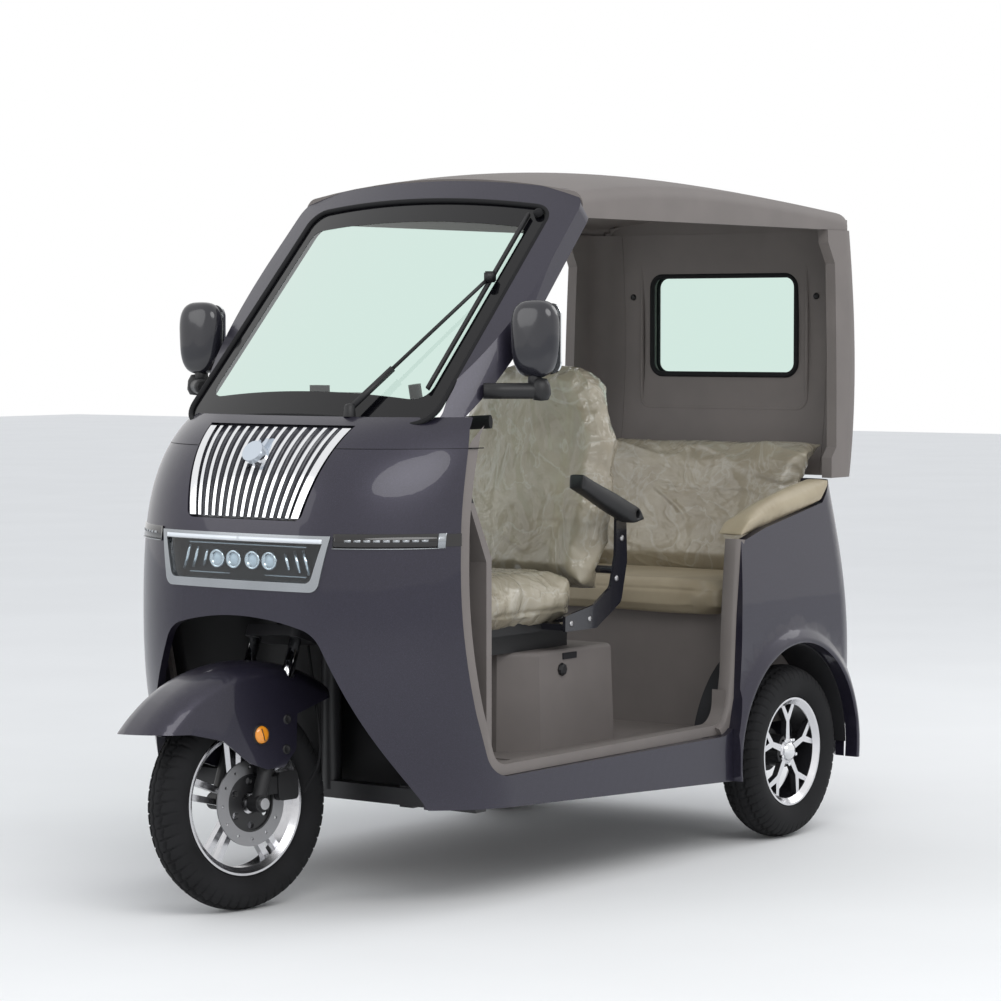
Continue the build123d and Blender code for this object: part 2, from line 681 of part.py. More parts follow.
fender_outer = channel_points(0.0)
fender_inner = channel_points(FENDER_THICK)
fender_ring = fender_outer + fender_inner[::-1]
fender_ring += [(reach, -across) for reach, across in fender_inner]
fender_ring += [(reach, -across) for reach, across in fender_outer[::-1]]
with BuildSketch(Plane.XZ) as fender_face:
    with BuildLine():
        Polyline((station(400), 700), (station(400), 434), (station(200), 420), (station(110), 398),
                 (station(34), 340), (station(-14), 322), (station(-66), 322), (station(-104), 360),
                 (station(-112), 440), (station(-215), 470), (station(-300), 700), close=True)
    make_face()
fender_side = extrude(fender_face.sketch, 200, both=True)
with BuildPart() as leg_bores:
    with BuildSketch(steer_plane(400, LEG_AHEAD)):
        with Locations((0, LEG_HALF), (0, -LEG_HALF)):
            Circle(SLIDER_R + GAP)
    extrude(amount=260)
front_fender = turned(fender_centre, fender_ring) & fender_side
front_fender -= leg_bores.part

# Brake caliper, astride the disc behind the left leg
CALIPER_STATION = -98.0
CALIPER_Z = 276.0
with BuildPart() as brake_caliper:
    with Locations(Location((station(CALIPER_STATION), DISC_Y + DISC_THICK / 2 + 4, CALIPER_Z))):
        Box(60, 34, 66)
    fillet(brake_caliper.edges().filter_by(Axis.Y), 12)
    with Locations((station(-50), 60, CALIPER_Z + 4)):
        Box(70, 8, 40)
    add(turned(front_hub, [(40, DISC_Y - 1.5), (DISC_R + 3, DISC_Y - 1.5),
                           (DISC_R + 3, DISC_Y + DISC_THICK + 1.5), (40, DISC_Y + DISC_THICK + 1.5)]),
        mode=Mode.SUBTRACT)
    add(rod(on_steer(FRONT_TYRE_R - 4, LEG_AHEAD, LEG_HALF), on_steer(SLIDER_TOP_Z, LEG_AHEAD, LEG_HALF),
            SLIDER_R + GAP), mode=Mode.SUBTRACT)

# Handlebar: a clamp reaching back from the stem, a bar swept back, grips, hand controls and levers
BAR_SWEEP = 125.0
BAR_RISE = 14.0
GRIP_LENGTH = 118.0
CONTROL_R = 22.0
bar_middle = on_steer(BAR_Z) + Vector(-BAR_BACK, 0, 0)


def bar_points(side_sign):
    """The bend and the end of one half of the handlebar."""
    bend = bar_middle + Vector(-12, side_sign * 120, BAR_RISE)
    return bend, bar_middle + Vector(-BAR_SWEEP, side_sign * GRIP_HALF, BAR_RISE)


with BuildPart() as handlebar:
    add(rod(on_steer(BAR_Z - 34), on_steer(BAR_Z - 6), STEM_R + 9))
    add(rod(on_steer(BAR_Z - 18), bar_middle, 17))
    for side_sign in (-1, 1):
        bend, end = bar_points(side_sign)
        along = (end - bend).normalized()
        add(rod(bar_middle, bend, BAR_R))
        add(rod(bend, end, BAR_R))
        with Locations(Location(bend)):
            Sphere(BAR_R)
        control = bend + along * 62
        add(rod(control - along * 24, control + along * 24, CONTROL_R))
        add(rod(control + Vector(0, 0, 10), control + Vector(12, 0, 96), 15))
        add(rod(control + Vector(20, 0, -2), control + Vector(16, side_sign * 105, -8), 5))
    add(rod(on_steer(BAR_Z - 60), on_steer(BAR_Z - 20), STEM_R), mode=Mode.SUBTRACT)

with BuildPart() as grips:
    for side_sign in (-1, 1):
        bend, end = bar_points(side_sign)
        along = (end - bend).normalized()
        add(rod(end - along * GRIP_LENGTH, end + along * 4, GRIP_R))
    add(handlebar.part, mode=Mode.SUBTRACT)

with BuildPart() as front_tyre_straight:
    add(make_tyre(front_hub, FRONT_TYRE_R, FRONT_TYRE_HALF, FRONT_FLANGE_R, FRONT_RIM_HALF))

# The whole steered set turns to its parked angle and slides along the stem onto the ground
steer_axis = Axis(steer_foot, steer_up)
parked_tyre = front_tyre_straight.part.rotate(steer_axis, STEER_REST)
settle = steer_up * (-parked_tyre.bounding_box().min.Z / cos(radians(RAKE)))


def park(piece):
    """Turns a piece of the steered set to its parked angle and sets it down."""
    return piece.rotate(steer_axis, STEER_REST).moved(Location(settle))


disc_whole = disc_ring + carrier
steered_set = [("front_tyre", front_tyre_straight.part), ("front_rim", front_rim_straight.part),
               ("brake_disc", disc_whole), ("fork_yoke", fork_yoke.part),
               ("fork_sliders", fork_sliders.part), ("front_axle", front_axle.part),
               ("front_fender", front_fender), ("brake_caliper", brake_caliper.part),
               ("handlebar", handlebar.part), ("grips", grips.part)]
for piece_name, piece in steered_set:
    with BuildPart() as steered_piece:
        add(park(piece))
    save(steered_piece, piece_name)

# Rear wheels: five Y shaped spokes, a closed hub turning on the axle's spindle
REAR_HUB_R = 42.0
with BuildPart() as rear_spoke:
    with BuildSketch(Plane.XZ):
        with BuildLine():
            Polyline((-9, 30), (9, 30), (7, 78), (33, 121), (20, 124), (0, 96), (-20, 124), (-33, 121),
                     (-7, 78), close=True)
        make_face()
    extrude(amount=8, both=True)

for side_name, side_sign in (("left", 1), ("right", -1)):
    hub = (REAR_AXLE_X, side_sign * REAR_TRACK_HALF, REAR_TYRE_R)
    with BuildPart() as rear_tyre:
        add(make_tyre(hub, REAR_TYRE_R, REAR_TYRE_HALF, REAR_FLANGE_R, REAR_RIM_HALF))
    save(rear_tyre, "rear_tyre_" + side_name)
    face_y = side_sign * 20
    with BuildPart() as rear_rim:
        add(rim_barrel(hub, REAR_FLANGE_R, REAR_RIM_HALF))
        add(turned(hub, [(0, side_sign * 6), (SPINDLE_R + FIT, side_sign * 6),
                         (SPINDLE_R + FIT, -side_sign * 26), (REAR_HUB_R, -side_sign * 26),
                         (REAR_HUB_R, side_sign * 22), (28, side_sign * 30), (0, side_sign * 30)]))
        for spoke in around(rear_spoke.part.moved(Location((hub[0], hub[1] + face_y, hub[2]))), hub, SPOKES):
            add(spoke)
    save(rear_rim, "rear_rim_" + side_name)

# Chassis: two square tube rails, cross members, a gooseneck and the steering head
RAIL_HALF = 235.0
RAIL_WIDE = 40.0
RAIL_TALL = 50.0
RAIL_TOP_Z = FLOOR_TOP_Z - FLOOR_THICK
RAIL_FRONT_STATION = -320.0
RAIL_REAR_STATION = -1900.0
POST_STATION = -334.0
POST_R = 24.0
CROSS_STATIONS = (POST_STATION, -780.0, -1230.0)
CROSS_HALF = 440.0
KICK_STATION = -1571.0
KICK_RISE = 90.0
TAIL_CROSS_STATION = -1880.0
rail_mid_z = RAIL_TOP_Z - RAIL_TALL / 2
head_low = on_steer(HEAD_Z - HEAD_HALF)
head_high = on_steer(HEAD_Z + HEAD_HALF)
with BuildPart() as chassis_frame:
    for side_sign in (-1, 1):
        with Locations((station((RAIL_FRONT_STATION + KICK_STATION - 20) / 2), side_sign * RAIL_HALF, rail_mid_z)):
            Box(RAIL_FRONT_STATION - KICK_STATION + 20, RAIL_WIDE, RAIL_TALL)
        with Locations((station(KICK_STATION), side_sign * RAIL_HALF, rail_mid_z + KICK_RISE / 2)):
            Box(40, RAIL_WIDE, RAIL_TALL + KICK_RISE)
        with Locations((station((KICK_STATION + RAIL_REAR_STATION) / 2), side_sign * RAIL_HALF,
                        rail_mid_z + KICK_RISE)):
            Box(KICK_STATION - RAIL_REAR_STATION, RAIL_WIDE, RAIL_TALL)
    with Locations((station(TAIL_CROSS_STATION), 0, rail_mid_z + KICK_RISE)):
        Box(40, 2 * RAIL_HALF, 40)
    for cross in CROSS_STATIONS:
        with Locations((station(cross), 0, rail_mid_z)):
            Box(40, 2 * CROSS_HALF, 40)
    elbow = Vector(station(POST_STATION), 0, HEAD_Z - 60)
    add(rod((station(POST_STATION), 0, rail_mid_z), elbow, POST_R))
    add(rod(elbow, on_steer(HEAD_Z), POST_R))
    with Locations(Location(elbow)):
        Sphere(POST_R)
    add(rod(head_low, head_high, HEAD_R))
    add(rod(on_steer(HEAD_Z - 200), on_steer(HEAD_Z + 200), STEM_R + FIT), mode=Mode.SUBTRACT)
save(chassis_frame, "chassis_frame")

# Floor, footwell wall and dash shelf
FLOOR_HALF = 452.0
FLOOR_REAR_STATION = -1330.0
WALL_STATION = -384.0
DASH_THICK = 20.0
RIB_COUNT = 5
RIB_FRONT_STATION = -470.0
RIB_PITCH = 60.0
RIB_WIDE = 24.0
RIB_RISE = 3.0
with BuildPart() as floor_pan:
    with Locations((station((WALL_STATION - 22 + FLOOR_REAR_STATION) / 2), 0, FLOOR_TOP_Z - FLOOR_THICK / 2)):
        Box(WALL_STATION - 22 - FLOOR_REAR_STATION, 2 * FLOOR_HALF, FLOOR_THICK)
    for rib in range(RIB_COUNT):
        with Locations((station(RIB_FRONT_STATION - RIB_PITCH * rib), 0, FLOOR_TOP_Z)):
            Box(RIB_WIDE, 2 * FLOOR_HALF - 120, 2 * RIB_RISE)
save(floor_pan, "floor_pan")

DASH_TOP_Z = 1100.0
TRIM_INNER = 436.0
TRIM_OUTER = 474.0
with BuildSketch(Plane.XZ) as dash_face:
    with BuildLine():
        Polyline((station(WALL_STATION), RAIL_TOP_Z), (station(WALL_STATION), 800),
                 (station(-300), 960), (station(-292), DASH_TOP_Z - 14), (station(-300), DASH_TOP_Z),
                 (station(-246), DASH_TOP_Z), (station(-246), DASH_TOP_Z - DASH_THICK),
                 (station(-272), DASH_TOP_Z - DASH_THICK), (station(-280), 966),
                 (station(WALL_STATION + DASH_THICK), 792),
                 (station(WALL_STATION + DASH_THICK), RAIL_TOP_Z), close=True)
    make_face()
pillar_feet = screen_slab(FRAME_RISE, PILLAR_DEPTH + SEAM) - Pos(station(-200), 0, 1100) * Box(900, 580, 900)
with BuildPart() as dashboard:
    add(extrude(dash_face.sketch, TRIM_INNER - 2, both=True, mode=Mode.PRIVATE))
    add(nose_form(SKIN + SEAM, -1000), mode=Mode.INTERSECT)
    add(rod(on_steer(650), on_steer(1300), HEAD_R + 14), mode=Mode.SUBTRACT)
    add(pillar_feet, mode=Mode.SUBTRACT)
save(dashboard, "dashboard")

POD_HALF = 155.0
POD_TOP_Z = 1178.0
with BuildSketch(Plane.XZ) as pod_face:
    with BuildLine():
        Polyline((station(-308), DASH_TOP_Z), (station(-312), POD_TOP_Z - 10), (station(-300), POD_TOP_Z),
                 (station(-284), POD_TOP_Z - 2), (station(-250), DASH_TOP_Z + 40), (station(-250), DASH_TOP_Z),
                 close=True)
    make_face()
with BuildPart() as instrument_pod:
    with BuildSketch(Plane.YZ.offset(station(-330))):
        with Locations((0, POD_TOP_Z - 100)):
            RectangleRounded(2 * POD_HALF, 200, 34)
    extrude(amount=110)
    add(extrude(pod_face.sketch, 200, both=True, mode=Mode.PRIVATE), mode=Mode.INTERSECT)
    with Locations((station(-294), 0, POD_TOP_Z + 6)):
        Box(18, 46, 20)
save(instrument_pod, "instrument_pod")

# Grille: a tray in the nose with upright slats bent to the hood's curve, wide side strips and a disc
SLATS = 13
SLAT_WIDE = 10.0
DISC_STATION = -52.0
DISC_Z = 1046.0


def hood_band(inset, depth):
    """Thin layer of the nose between two depths under its surface."""
    return nose_form(inset, -1000) - nose_form(inset + depth, -1040)


with BuildPart() as grille_tray:
    add(hood_band(16.0, 5.0))
    with BuildSketch(Plane.YZ.offset(station(-280))) as tray_face:
        with BuildLine():
            Polyline((SEAM - GRILLE_LOW_HALF, GRILLE_LOW_Z + SEAM), (GRILLE_LOW_HALF - SEAM, GRILLE_LOW_Z + SEAM),
                     (GRILLE_TOP_HALF - SEAM, GRILLE_TOP_Z - SEAM), (SEAM - GRILLE_TOP_HALF, GRILLE_TOP_Z - SEAM),
                     close=True)
        make_face()
        fillet(tray_face.vertices().group_by(Axis.Y)[0], 22)
    extrude(amount=400, mode=Mode.INTERSECT)
    split(bisect_by=Plane.YZ.offset(station(-300)), keep=Keep.TOP)
with BuildPart() as slat_bars:
    for i in range(SLATS + 2):
        edge = i in (0, SLATS + 1)
        share = (i - (SLATS + 1) / 2) / ((SLATS + 1) / 2)
        half_wide = 11.0 if edge else SLAT_WIDE / 2
        low_y = share * (GRILLE_LOW_HALF - 16)
        high_y = share * (GRILLE_TOP_HALF - 16)
        with BuildSketch(Plane.YZ.offset(station(-280))):
            with BuildLine():
                Polyline((low_y - half_wide * 0.9, GRILLE_LOW_Z + 6), (low_y + half_wide * 0.9, GRILLE_LOW_Z + 6),
                         (high_y + half_wide, GRILLE_TOP_Z - 6), (high_y - half_wide, GRILLE_TOP_Z - 6),
                         close=True)
            make_face()
        extrude(amount=400)
    add(hood_band(0.0, 17.0), mode=Mode.INTERSECT)
with BuildPart() as grille:
    add(grille_tray.part)
    add(slat_bars.part)
    add(rod((station(DISC_STATION - 30), 0, DISC_Z - 20), (station(DISC_STATION + 2), 0, DISC_Z + 2), 27))
save(grille, "grille")

# Headlamp: dark housing, U shaped bezel with the light bar over it, clear lens
HOUSING_INSET = 34.0
BEZEL_PROUD = 4.0
with BuildPart() as headlamp_housing:
    add(hood_band(HOUSING_INSET, 14.0))
    add(lamp_cut, mode=Mode.INTERSECT)
    for eye in (-75, -27, 27, 75):
        add(rod((station(-40), eye, 800), (station(-24), eye, 800), 17))
with BuildSketch(Plane.YZ.offset(station(-120))) as lens_face:
    with BuildLine():
        Polyline((-LAMP_HALF + 44, LAMP_BOTTOM_Z + 20), (LAMP_HALF - 44, LAMP_BOTTOM_Z + 20),
                 (LAMP_HALF - 18, LAMP_TOP_Z - 18), (18 - LAMP_HALF, LAMP_TOP_Z - 18), close=True)
    make_face()
    fillet(lens_face.vertices().group_by(Axis.Y)[0], 18)
lens_block = extrude(lens_face.sketch, 300)
with BuildPart() as headlamp_bezel:
    add(hood_band(-BEZEL_PROUD, HOUSING_INSET + BEZEL_PROUD - GAP))
    add(lamp_cut, mode=Mode.INTERSECT)
    add(lens_block, mode=Mode.SUBTRACT)
save(headlamp_bezel, "headlamp_bezel")
with BuildPart() as headlamp_lens:
    add(hood_band(4.0, 5.0))
    with BuildSketch(Plane.YZ.offset(station(-120))) as lens_inner:
        with BuildLine():
            Polyline((-LAMP_HALF + 44.5, LAMP_BOTTOM_Z + 20.5), (LAMP_HALF - 44.5, LAMP_BOTTOM_Z + 20.5),
                     (LAMP_HALF - 18.5, LAMP_TOP_Z - 18.5), (18.5 - LAMP_HALF, LAMP_TOP_Z - 18.5), close=True)
        make_face()
        fillet(lens_inner.vertices().group_by(Axis.Y)[0], 18)
    extrude(amount=300, mode=Mode.INTERSECT)
save(headlamp_lens, "headlamp_lens")
save(headlamp_housing, "headlamp_housing")

with BuildPart() as turn_lamps:
    add(hood_band(-2.0, TURN_DEPTH + 2 - GAP))
    add(turn_block, mode=Mode.INTERSECT)
    add(door_cut, mode=Mode.SUBTRACT)
save(turn_lamps, "turn_lamps")

# Wiper: a motor boss on the cowl, an arm and a blade lying on the glass
WIPER_SIDE = 170.0


def on_screen(side, climb, lift):
    """Place on the curved glass: sideways, up the slope, and lifted off its outer face."""
    sag = SCREEN_CROWN_R - sqrt(SCREEN_CROWN_R ** 2 - side ** 2)
    return screen_base + up_slope * climb + out_slope * (lift - sag) + Vector(0, side, 0)


BLADE_LOW = on_screen(322, 118, 12)
BLADE_HIGH = on_screen(318, 690, 12)
ARM_END = on_screen(322, 470, 20)
wiper_foot = Vector(station(-194), WIPER_SIDE, NOSE_SECTIONS[-1][0] + GAP)
with BuildPart() as wiper:
    add(rod(wiper_foot, wiper_foot + Vector(0, 0, 24), 9))
    add(rod(wiper_foot + Vector(0, 0, 17), ARM_END, 6))
    add(rod(ARM_END, ARM_END - out_slope * 12, 7))
    add(rod(BLADE_LOW, BLADE_HIGH, 6))
save(wiper, "wiper")

# Mirrors: an arm from each screen pillar, a shell and its glass
MIRROR_CENTRE = Vector(station(-452), 508, 1303)
MIRROR_TALL = 178.0
MIRROR_WIDE = 128.0
MIRROR_DEEP = 62.0
mirror_arms = Part()
mirror_shells = Part()
mirror_glasses = Part()
for side_sign in (-1, 1):
    centre = Vector(MIRROR_CENTRE.X, side_sign * MIRROR_CENTRE.Y, MIRROR_CENTRE.Z)
    with BuildPart() as shell:
        with BuildSketch(Plane(origin=centre + Vector(-MIRROR_DEEP / 2, 0, 0), x_dir=(0, 1, 0), z_dir=(1, 0, 0))):
            RectangleRounded(MIRROR_WIDE, MIRROR_TALL, 36)
        extrude(amount=MIRROR_DEEP)
        fillet(shell.faces().sort_by(Axis.X)[-1].edges(), 24)
        with BuildSketch(Plane(origin=centre + Vector(-MIRROR_DEEP / 2, 0, 0), x_dir=(0, 1, 0), z_dir=(1, 0, 0))):
            RectangleRounded(MIRROR_WIDE - 14, MIRROR_TALL - 14, 30)
        extrude(amount=10, mode=Mode.SUBTRACT)
    mirror_shells += shell.part
    with BuildPart() as mirror_glass:
        with BuildSketch(Plane(origin=centre + Vector(4 - MIRROR_DEEP / 2, 0, 0), x_dir=(0, 1, 0), z_dir=(1, 0, 0))):
            RectangleRounded(MIRROR_WIDE - 15, MIRROR_TALL - 15, 29)
        extrude(amount=6)
    mirror_glasses += mirror_glass.part
    foot_z = MIRROR_CENTRE.Z - MIRROR_TALL / 2
    stalk_low = Vector(centre.X, centre.Y, foot_z - 30)
    pillar_side = Vector(station(-365), side_sign * 425, foot_z - 30)
    arm = rod(stalk_low, Vector(centre.X, centre.Y, foot_z - GAP), 10)
    arm += rod(pillar_side, stalk_low + Vector(0, side_sign * 16, 0), 14)
    mirror_arms += arm
for piece_name, piece in (("mirror_shells", mirror_shells), ("mirror_glasses", mirror_glasses),
                          ("mirror_arms", mirror_arms - windscreen_frame_whole.part)):
    with BuildPart() as mirror_piece:
        add(piece)
    save(mirror_piece, piece_name)

# Driver's seat: box, slide, cushion, back, armrest brackets and pads
BOX_CHAMFER = 78.0
BOX_WALL = 6.0
with BuildPart() as seat_box:
    with BuildSketch(Plane.XY.offset(FLOOR_TOP_Z)) as box_plan:
        with Locations((station((BOX_FRONT_STATION + BOX_REAR_STATION) / 2), 0)):
            Rectangle(BOX_FRONT_STATION - BOX_REAR_STATION, 2 * BOX_HALF)
        chamfer(box_plan.vertices().group_by(Axis.X)[-1], BOX_CHAMFER)
    extrude(amount=BOX_TOP_Z - FLOOR_TOP_Z, taper=1.5)
    fillet(seat_box.faces().sort_by(Axis.Z)[-1].edges(), 12)
    offset(amount=-BOX_WALL, openings=seat_box.faces().sort_by(Axis.Z)[0])
save(seat_box, "seat_box")

SLIDE_Z = SEAT_BASE_Z - 26
with BuildPart() as seat_slide:
    with Locations((station(-880), 0, (BOX_TOP_Z + SLIDE_Z) / 2)):
        Box(380, 330, SLIDE_Z - BOX_TOP_Z)
    with Locations((station(-850), 0, SLIDE_Z + 13)):
        Box(440, 400, 26 - 2 * GAP)
save(seat_slide, "seat_slide")

SEAT_FRONT_STATION = -575.0
SEAT_REAR_STATION = -1040.0
with BuildPart() as seat_cushion:
    with BuildSketch(Plane.XY.offset(SEAT_BASE_Z)):
        with Locations((station((SEAT_FRONT_STATION + SEAT_REAR_STATION) / 2), 0)):
            RectangleRounded(SEAT_FRONT_STATION - SEAT_REAR_STATION, 2 * SEAT_HALF, 70)
    extrude(amount=SEAT_TOP_Z - SEAT_BASE_Z)
    fillet(seat_cushion.faces().sort_by(Axis.Z)[-1].edges(), 30)
save(seat_cushion, "seat_cushion")

BACK_LEAN = 12.0
BACK_THICK = 96.0
BACK_FOOT = Vector(station(-1046), 0, 676)
BACK_TALL = 570.0
back_plane = Plane(origin=BACK_FOOT, x_dir=(0, 1, 0), z_dir=(cos(radians(BACK_LEAN)), 0, sin(radians(BACK_LEAN))))
with BuildPart() as seat_back:
    with BuildSketch(back_plane) as back_face:
        with BuildLine():
            Polyline((-205, 0), (205, 0), (238, 130), (232, 380), (150, BACK_TALL), (-150, BACK_TALL),
                     (-232, 380), (-238, 130), close=True)
        make_face()
        fillet(back_face.vertices().group_by(Axis.Y)[-1], 90)
    extrude(amount=-BACK_THICK)
    fillet(seat_back.edges().group_by(Axis.X)[-1], 18)
save(seat_back, "seat_back")

# Armrests: a bracket bar each side of the seat carries a pad that folds about a level pivot
ARM_SIDE = 272.0
ARM_THICK = 8.0
PIVOT_STATION = -1150.0
PIVOT_Z = 862.0
PIVOT_R = 9.0
with BuildSketch(Plane.XZ) as bracket_face:
    with BuildLine():
        Polyline((station(-905), 582), (station(-1040), 582), (station(-1150), 640), (station(-1176), 740),
                 (station(-1172), 862), (station(-1128), 862), (station(-1126), 760), (station(-1104), 680),
                 (station(-1030), 640), (station(-905), 620), close=True)
    make_face()
    fillet(bracket_face.vertices().filter_by(lambda v: 630 < v.Y < 780), 26)
STUB_INNER = 223.2
with BuildPart() as armrest_brackets:
    for side_sign in (-1, 1):
        add(extrude(bracket_face.sketch.moved(Location((0, side_sign * ARM_SIDE, 0))), ARM_THICK / 2, both=True,
                    mode=Mode.PRIVATE))
        add(rod((station(PIVOT_STATION), side_sign * (ARM_SIDE - ARM_THICK / 2), PIVOT_Z),
                (station(PIVOT_STATION), side_sign * (ARM_SIDE + ARM_THICK / 2), PIVOT_Z), 22))
        add(rod((station(PIVOT_STATION), side_sign * ARM_SIDE, PIVOT_Z),
                (station(PIVOT_STATION), side_sign * (ARM_SIDE + 44), PIVOT_Z), PIVOT_R))
        add(rod((station(-1120), side_sign * STUB_INNER, 722), (station(-1120), side_sign * ARM_SIDE, 722), 10))
        with Locations((station(-965), side_sign * (200 + (ARM_SIDE - ARM_THICK / 2 - 200) / 2), 592)):
            Box(110, ARM_SIDE - ARM_THICK / 2 - 200, 16)
save(armrest_brackets, "armrest_brackets")

for side_name, side_sign in (("left", 1), ("right", -1)):
    inner = side_sign * (ARM_SIDE + ARM_THICK / 2 + 5)
    outer = side_sign * (ARM_SIDE + ARM_THICK / 2 + 57)
    with BuildPart() as armrest:
        with BuildSketch(Plane.XZ.offset(-inner)):
            with BuildLine():
                Polyline((station(-905), 975), (station(-1160), 880), (station(-1185), 846),
                         (station(-1130), 836), (station(-1000), 890), (station(-900), 935), close=True)
            make_face()
        extrude(amount=inner - outer)
        add(rod((station(PIVOT_STATION), -400, PIVOT_Z), (station(PIVOT_STATION), 400, PIVOT_Z), PIVOT_R + FIT),
            mode=Mode.SUBTRACT)
    save(armrest, "armrest_" + side_name)

# Rear bench: riser, cushion, back and the bolsters on the side panels
RISER_STATION = -1525.0
RISER_THICK = 22.0
RISER_REAR_STATION = -1900.0
with BuildPart() as bench_base:
    with Locations((station((RISER_STATION + RISER_REAR_STATION) / 2), 0,
                    (FLOOR_TOP_Z + BENCH_BOTTOM_Z) / 2 - GAP)):
        Box(RISER_STATION - RISER_REAR_STATION, 2 * 368, BENCH_BOTTOM_Z - FLOOR_TOP_Z)
    with Locations((station((RISER_STATION + RISER_REAR_STATION) / 2) - RISER_THICK, 0,
                    (FLOOR_TOP_Z + BENCH_BOTTOM_Z) / 2 - RISER_THICK)):
        Box(RISER_STATION - RISER_REAR_STATION, 2 * (368 - RISER_THICK), BENCH_BOTTOM_Z - FLOOR_TOP_Z,
            mode=Mode.SUBTRACT)
    with Locations((station((FLOOR_REAR_STATION - SEAM + RISER_STATION - RISER_THICK) / 2), 0,
                    FLOOR_TOP_Z - FLOOR_THICK / 2)):
        Box(FLOOR_REAR_STATION - SEAM - RISER_STATION + RISER_THICK, 2 * 368, FLOOR_THICK)
save(bench_base, "bench_base")

with BuildPart() as bench_cushion:
    with Locations((station((BENCH_FRONT_STATION - 1870) / 2), 0, (BENCH_TOP_Z + BENCH_BOTTOM_Z) / 2)):
        Box(BENCH_FRONT_STATION + 1870, 2 * BENCH_HALF, BENCH_TOP_Z - BENCH_BOTTOM_Z)
    fillet(bench_cushion.edges().filter_by(Axis.Z), 40)
    fillet(bench_cushion.faces().sort_by(Axis.Z)[-1].edges(), 18)
save(bench_cushion, "bench_cushion")

with BuildSketch(Plane.XZ) as bench_back_face:
    with BuildLine():
        Polyline((station(-1790), BENCH_TOP_Z + 3), (station(-1884), BENCH_TOP_Z + 3), (station(-1884), 934),
                 (station(-2000), 1003), (station(-1905), 1008), close=True)
    make_face()
    fillet(bench_back_face.vertices().group_by(Axis.Y)[-1], 22)
with BuildPart() as bench_back:
    add(extrude(bench_back_face.sketch, 372, both=True, mode=Mode.PRIVATE))
save(bench_back, "bench_back")

with BuildSketch(Plane.XZ) as bolster_face:
    with BuildLine():
        Polyline((station(-1392), QUARTER_TOP_FRONT_Z + 3), (station(-1405), QUARTER_TOP_FRONT_Z + 3),
                 (station(-1500), QUARTER_TOP_FRONT_Z + 27), (station(-1800), QUARTER_TOP_REAR_Z + 3),
                 (station(-1836), 910), (station(-1836), 934), (station(-1800), 926), (station(-1500), 856),
                 (station(-1425), 836), (station(-1392), 806), close=True)
    make_face()
with BuildPart() as bolsters:
    for side_sign in (-1, 1):
        add(extrude(bolster_face.sketch.moved(Location((0, side_sign * 441, 0))), 41, both=True,
                    mode=Mode.PRIVATE))
save(bolsters, "bolsters")

# Rear axle: beam, gear housing with motor, spindles, two leaf springs and the battery under the seat
BEAM_R = 26.0
with BuildPart() as rear_axle:
    beam_half = REAR_TRACK_HALF - 30
    add(rod((REAR_AXLE_X, -beam_half, REAR_TYRE_R), (REAR_AXLE_X, beam_half, REAR_TYRE_R), BEAM_R))
    for side_sign in (-1, 1):
        add(rod((REAR_AXLE_X, side_sign * (beam_half - 5), REAR_TYRE_R),
                (REAR_AXLE_X, side_sign * (REAR_TRACK_HALF + 4), REAR_TYRE_R), SPINDLE_R))
        add(rod((REAR_AXLE_X, side_sign * (beam_half - 62), REAR_TYRE_R),
                (REAR_AXLE_X, side_sign * (beam_half - 2), REAR_TYRE_R), 56))
    add(rod((REAR_AXLE_X, 20, REAR_TYRE_R), (REAR_AXLE_X, 150, REAR_TYRE_R), 86))
    add(rod((REAR_AXLE_X, -160, REAR_TYRE_R), (REAR_AXLE_X, 20, REAR_TYRE_R), 66))
save(rear_axle, "rear_axle")

SPRING_HALF = RAIL_HALF + 50
SPRING_REACH = 230.0
LEAF_THICK = 8.0
EYE_R = 14.0
spring_top_z = REAR_TYRE_R - BEAM_R - GAP
eye_z = spring_top_z - EYE_R
with BuildPart() as leaf_springs:
    for side_sign in (-1, 1):
        for leaf in range(4):
            half_length = SPRING_REACH - 50 * leaf
            with Locations((REAR_AXLE_X, side_sign * SPRING_HALF, spring_top_z - LEAF_THICK * (leaf + 0.5))):
                Box(2 * half_length, 45, LEAF_THICK)
        for end, hanger_top_z in ((1, rail_mid_z - RAIL_TALL / 2), (-1, rail_mid_z + KICK_RISE - RAIL_TALL / 2)):
            eye_x = REAR_AXLE_X + end * SPRING_REACH
            add(rod((eye_x, side_sign * (RAIL_HALF - 15), eye_z), (eye_x, side_sign * (SPRING_HALF + 26), eye_z),
                    EYE_R))
            with Locations((eye_x, side_sign * RAIL_HALF, (eye_z + hanger_top_z) / 2)):
                Box(20, 30, hanger_top_z - eye_z)
save(leaf_springs, "leaf_springs")

with BuildPart() as battery_pack:
    with Locations((station(-1020), 0, FLOOR_TOP_Z + 100)):
        Box(300, 350, 200)
save(battery_pack, "battery_pack")

# Tail lamps on the rear panel, and the liners over the rear wheels
TAIL_THICK = 14.0
tail_layer = rear_form(-TAIL_THICK, -1700) - rear_form(-GAP, -1680)
with BuildPart() as tail_lamps:
    add(tail_layer)
    with Locations((station(-1950), 300, 745), (station(-1950), -300, 745)):
        Box(200, 84, 150, mode=Mode.INTERSECT)
save(tail_lamps, "tail_lamps")

LINER_R = ARCH_R - 1
LINER_INNER = 370.0
LINER_OUTER = 490.0
with BuildPart() as wheel_houses:
    with BuildSketch(Plane.XZ.offset(-LINER_OUTER)):
        with Locations((station(ARCH_STATION), ARCH_Z)):
            Circle(LINER_R)
            Circle(LINER_R - 5, mode=Mode.SUBTRACT)
            with Locations((0, -400)):
                Rectangle(800, 800, mode=Mode.SUBTRACT)
    extrude(amount=2 * LINER_OUTER)
    with Locations((station(ARCH_STATION), 0, ARCH_Z)):
        Box(700, 2 * LINER_INNER, 700, mode=Mode.SUBTRACT)
save(wheel_houses, "wheel_houses")

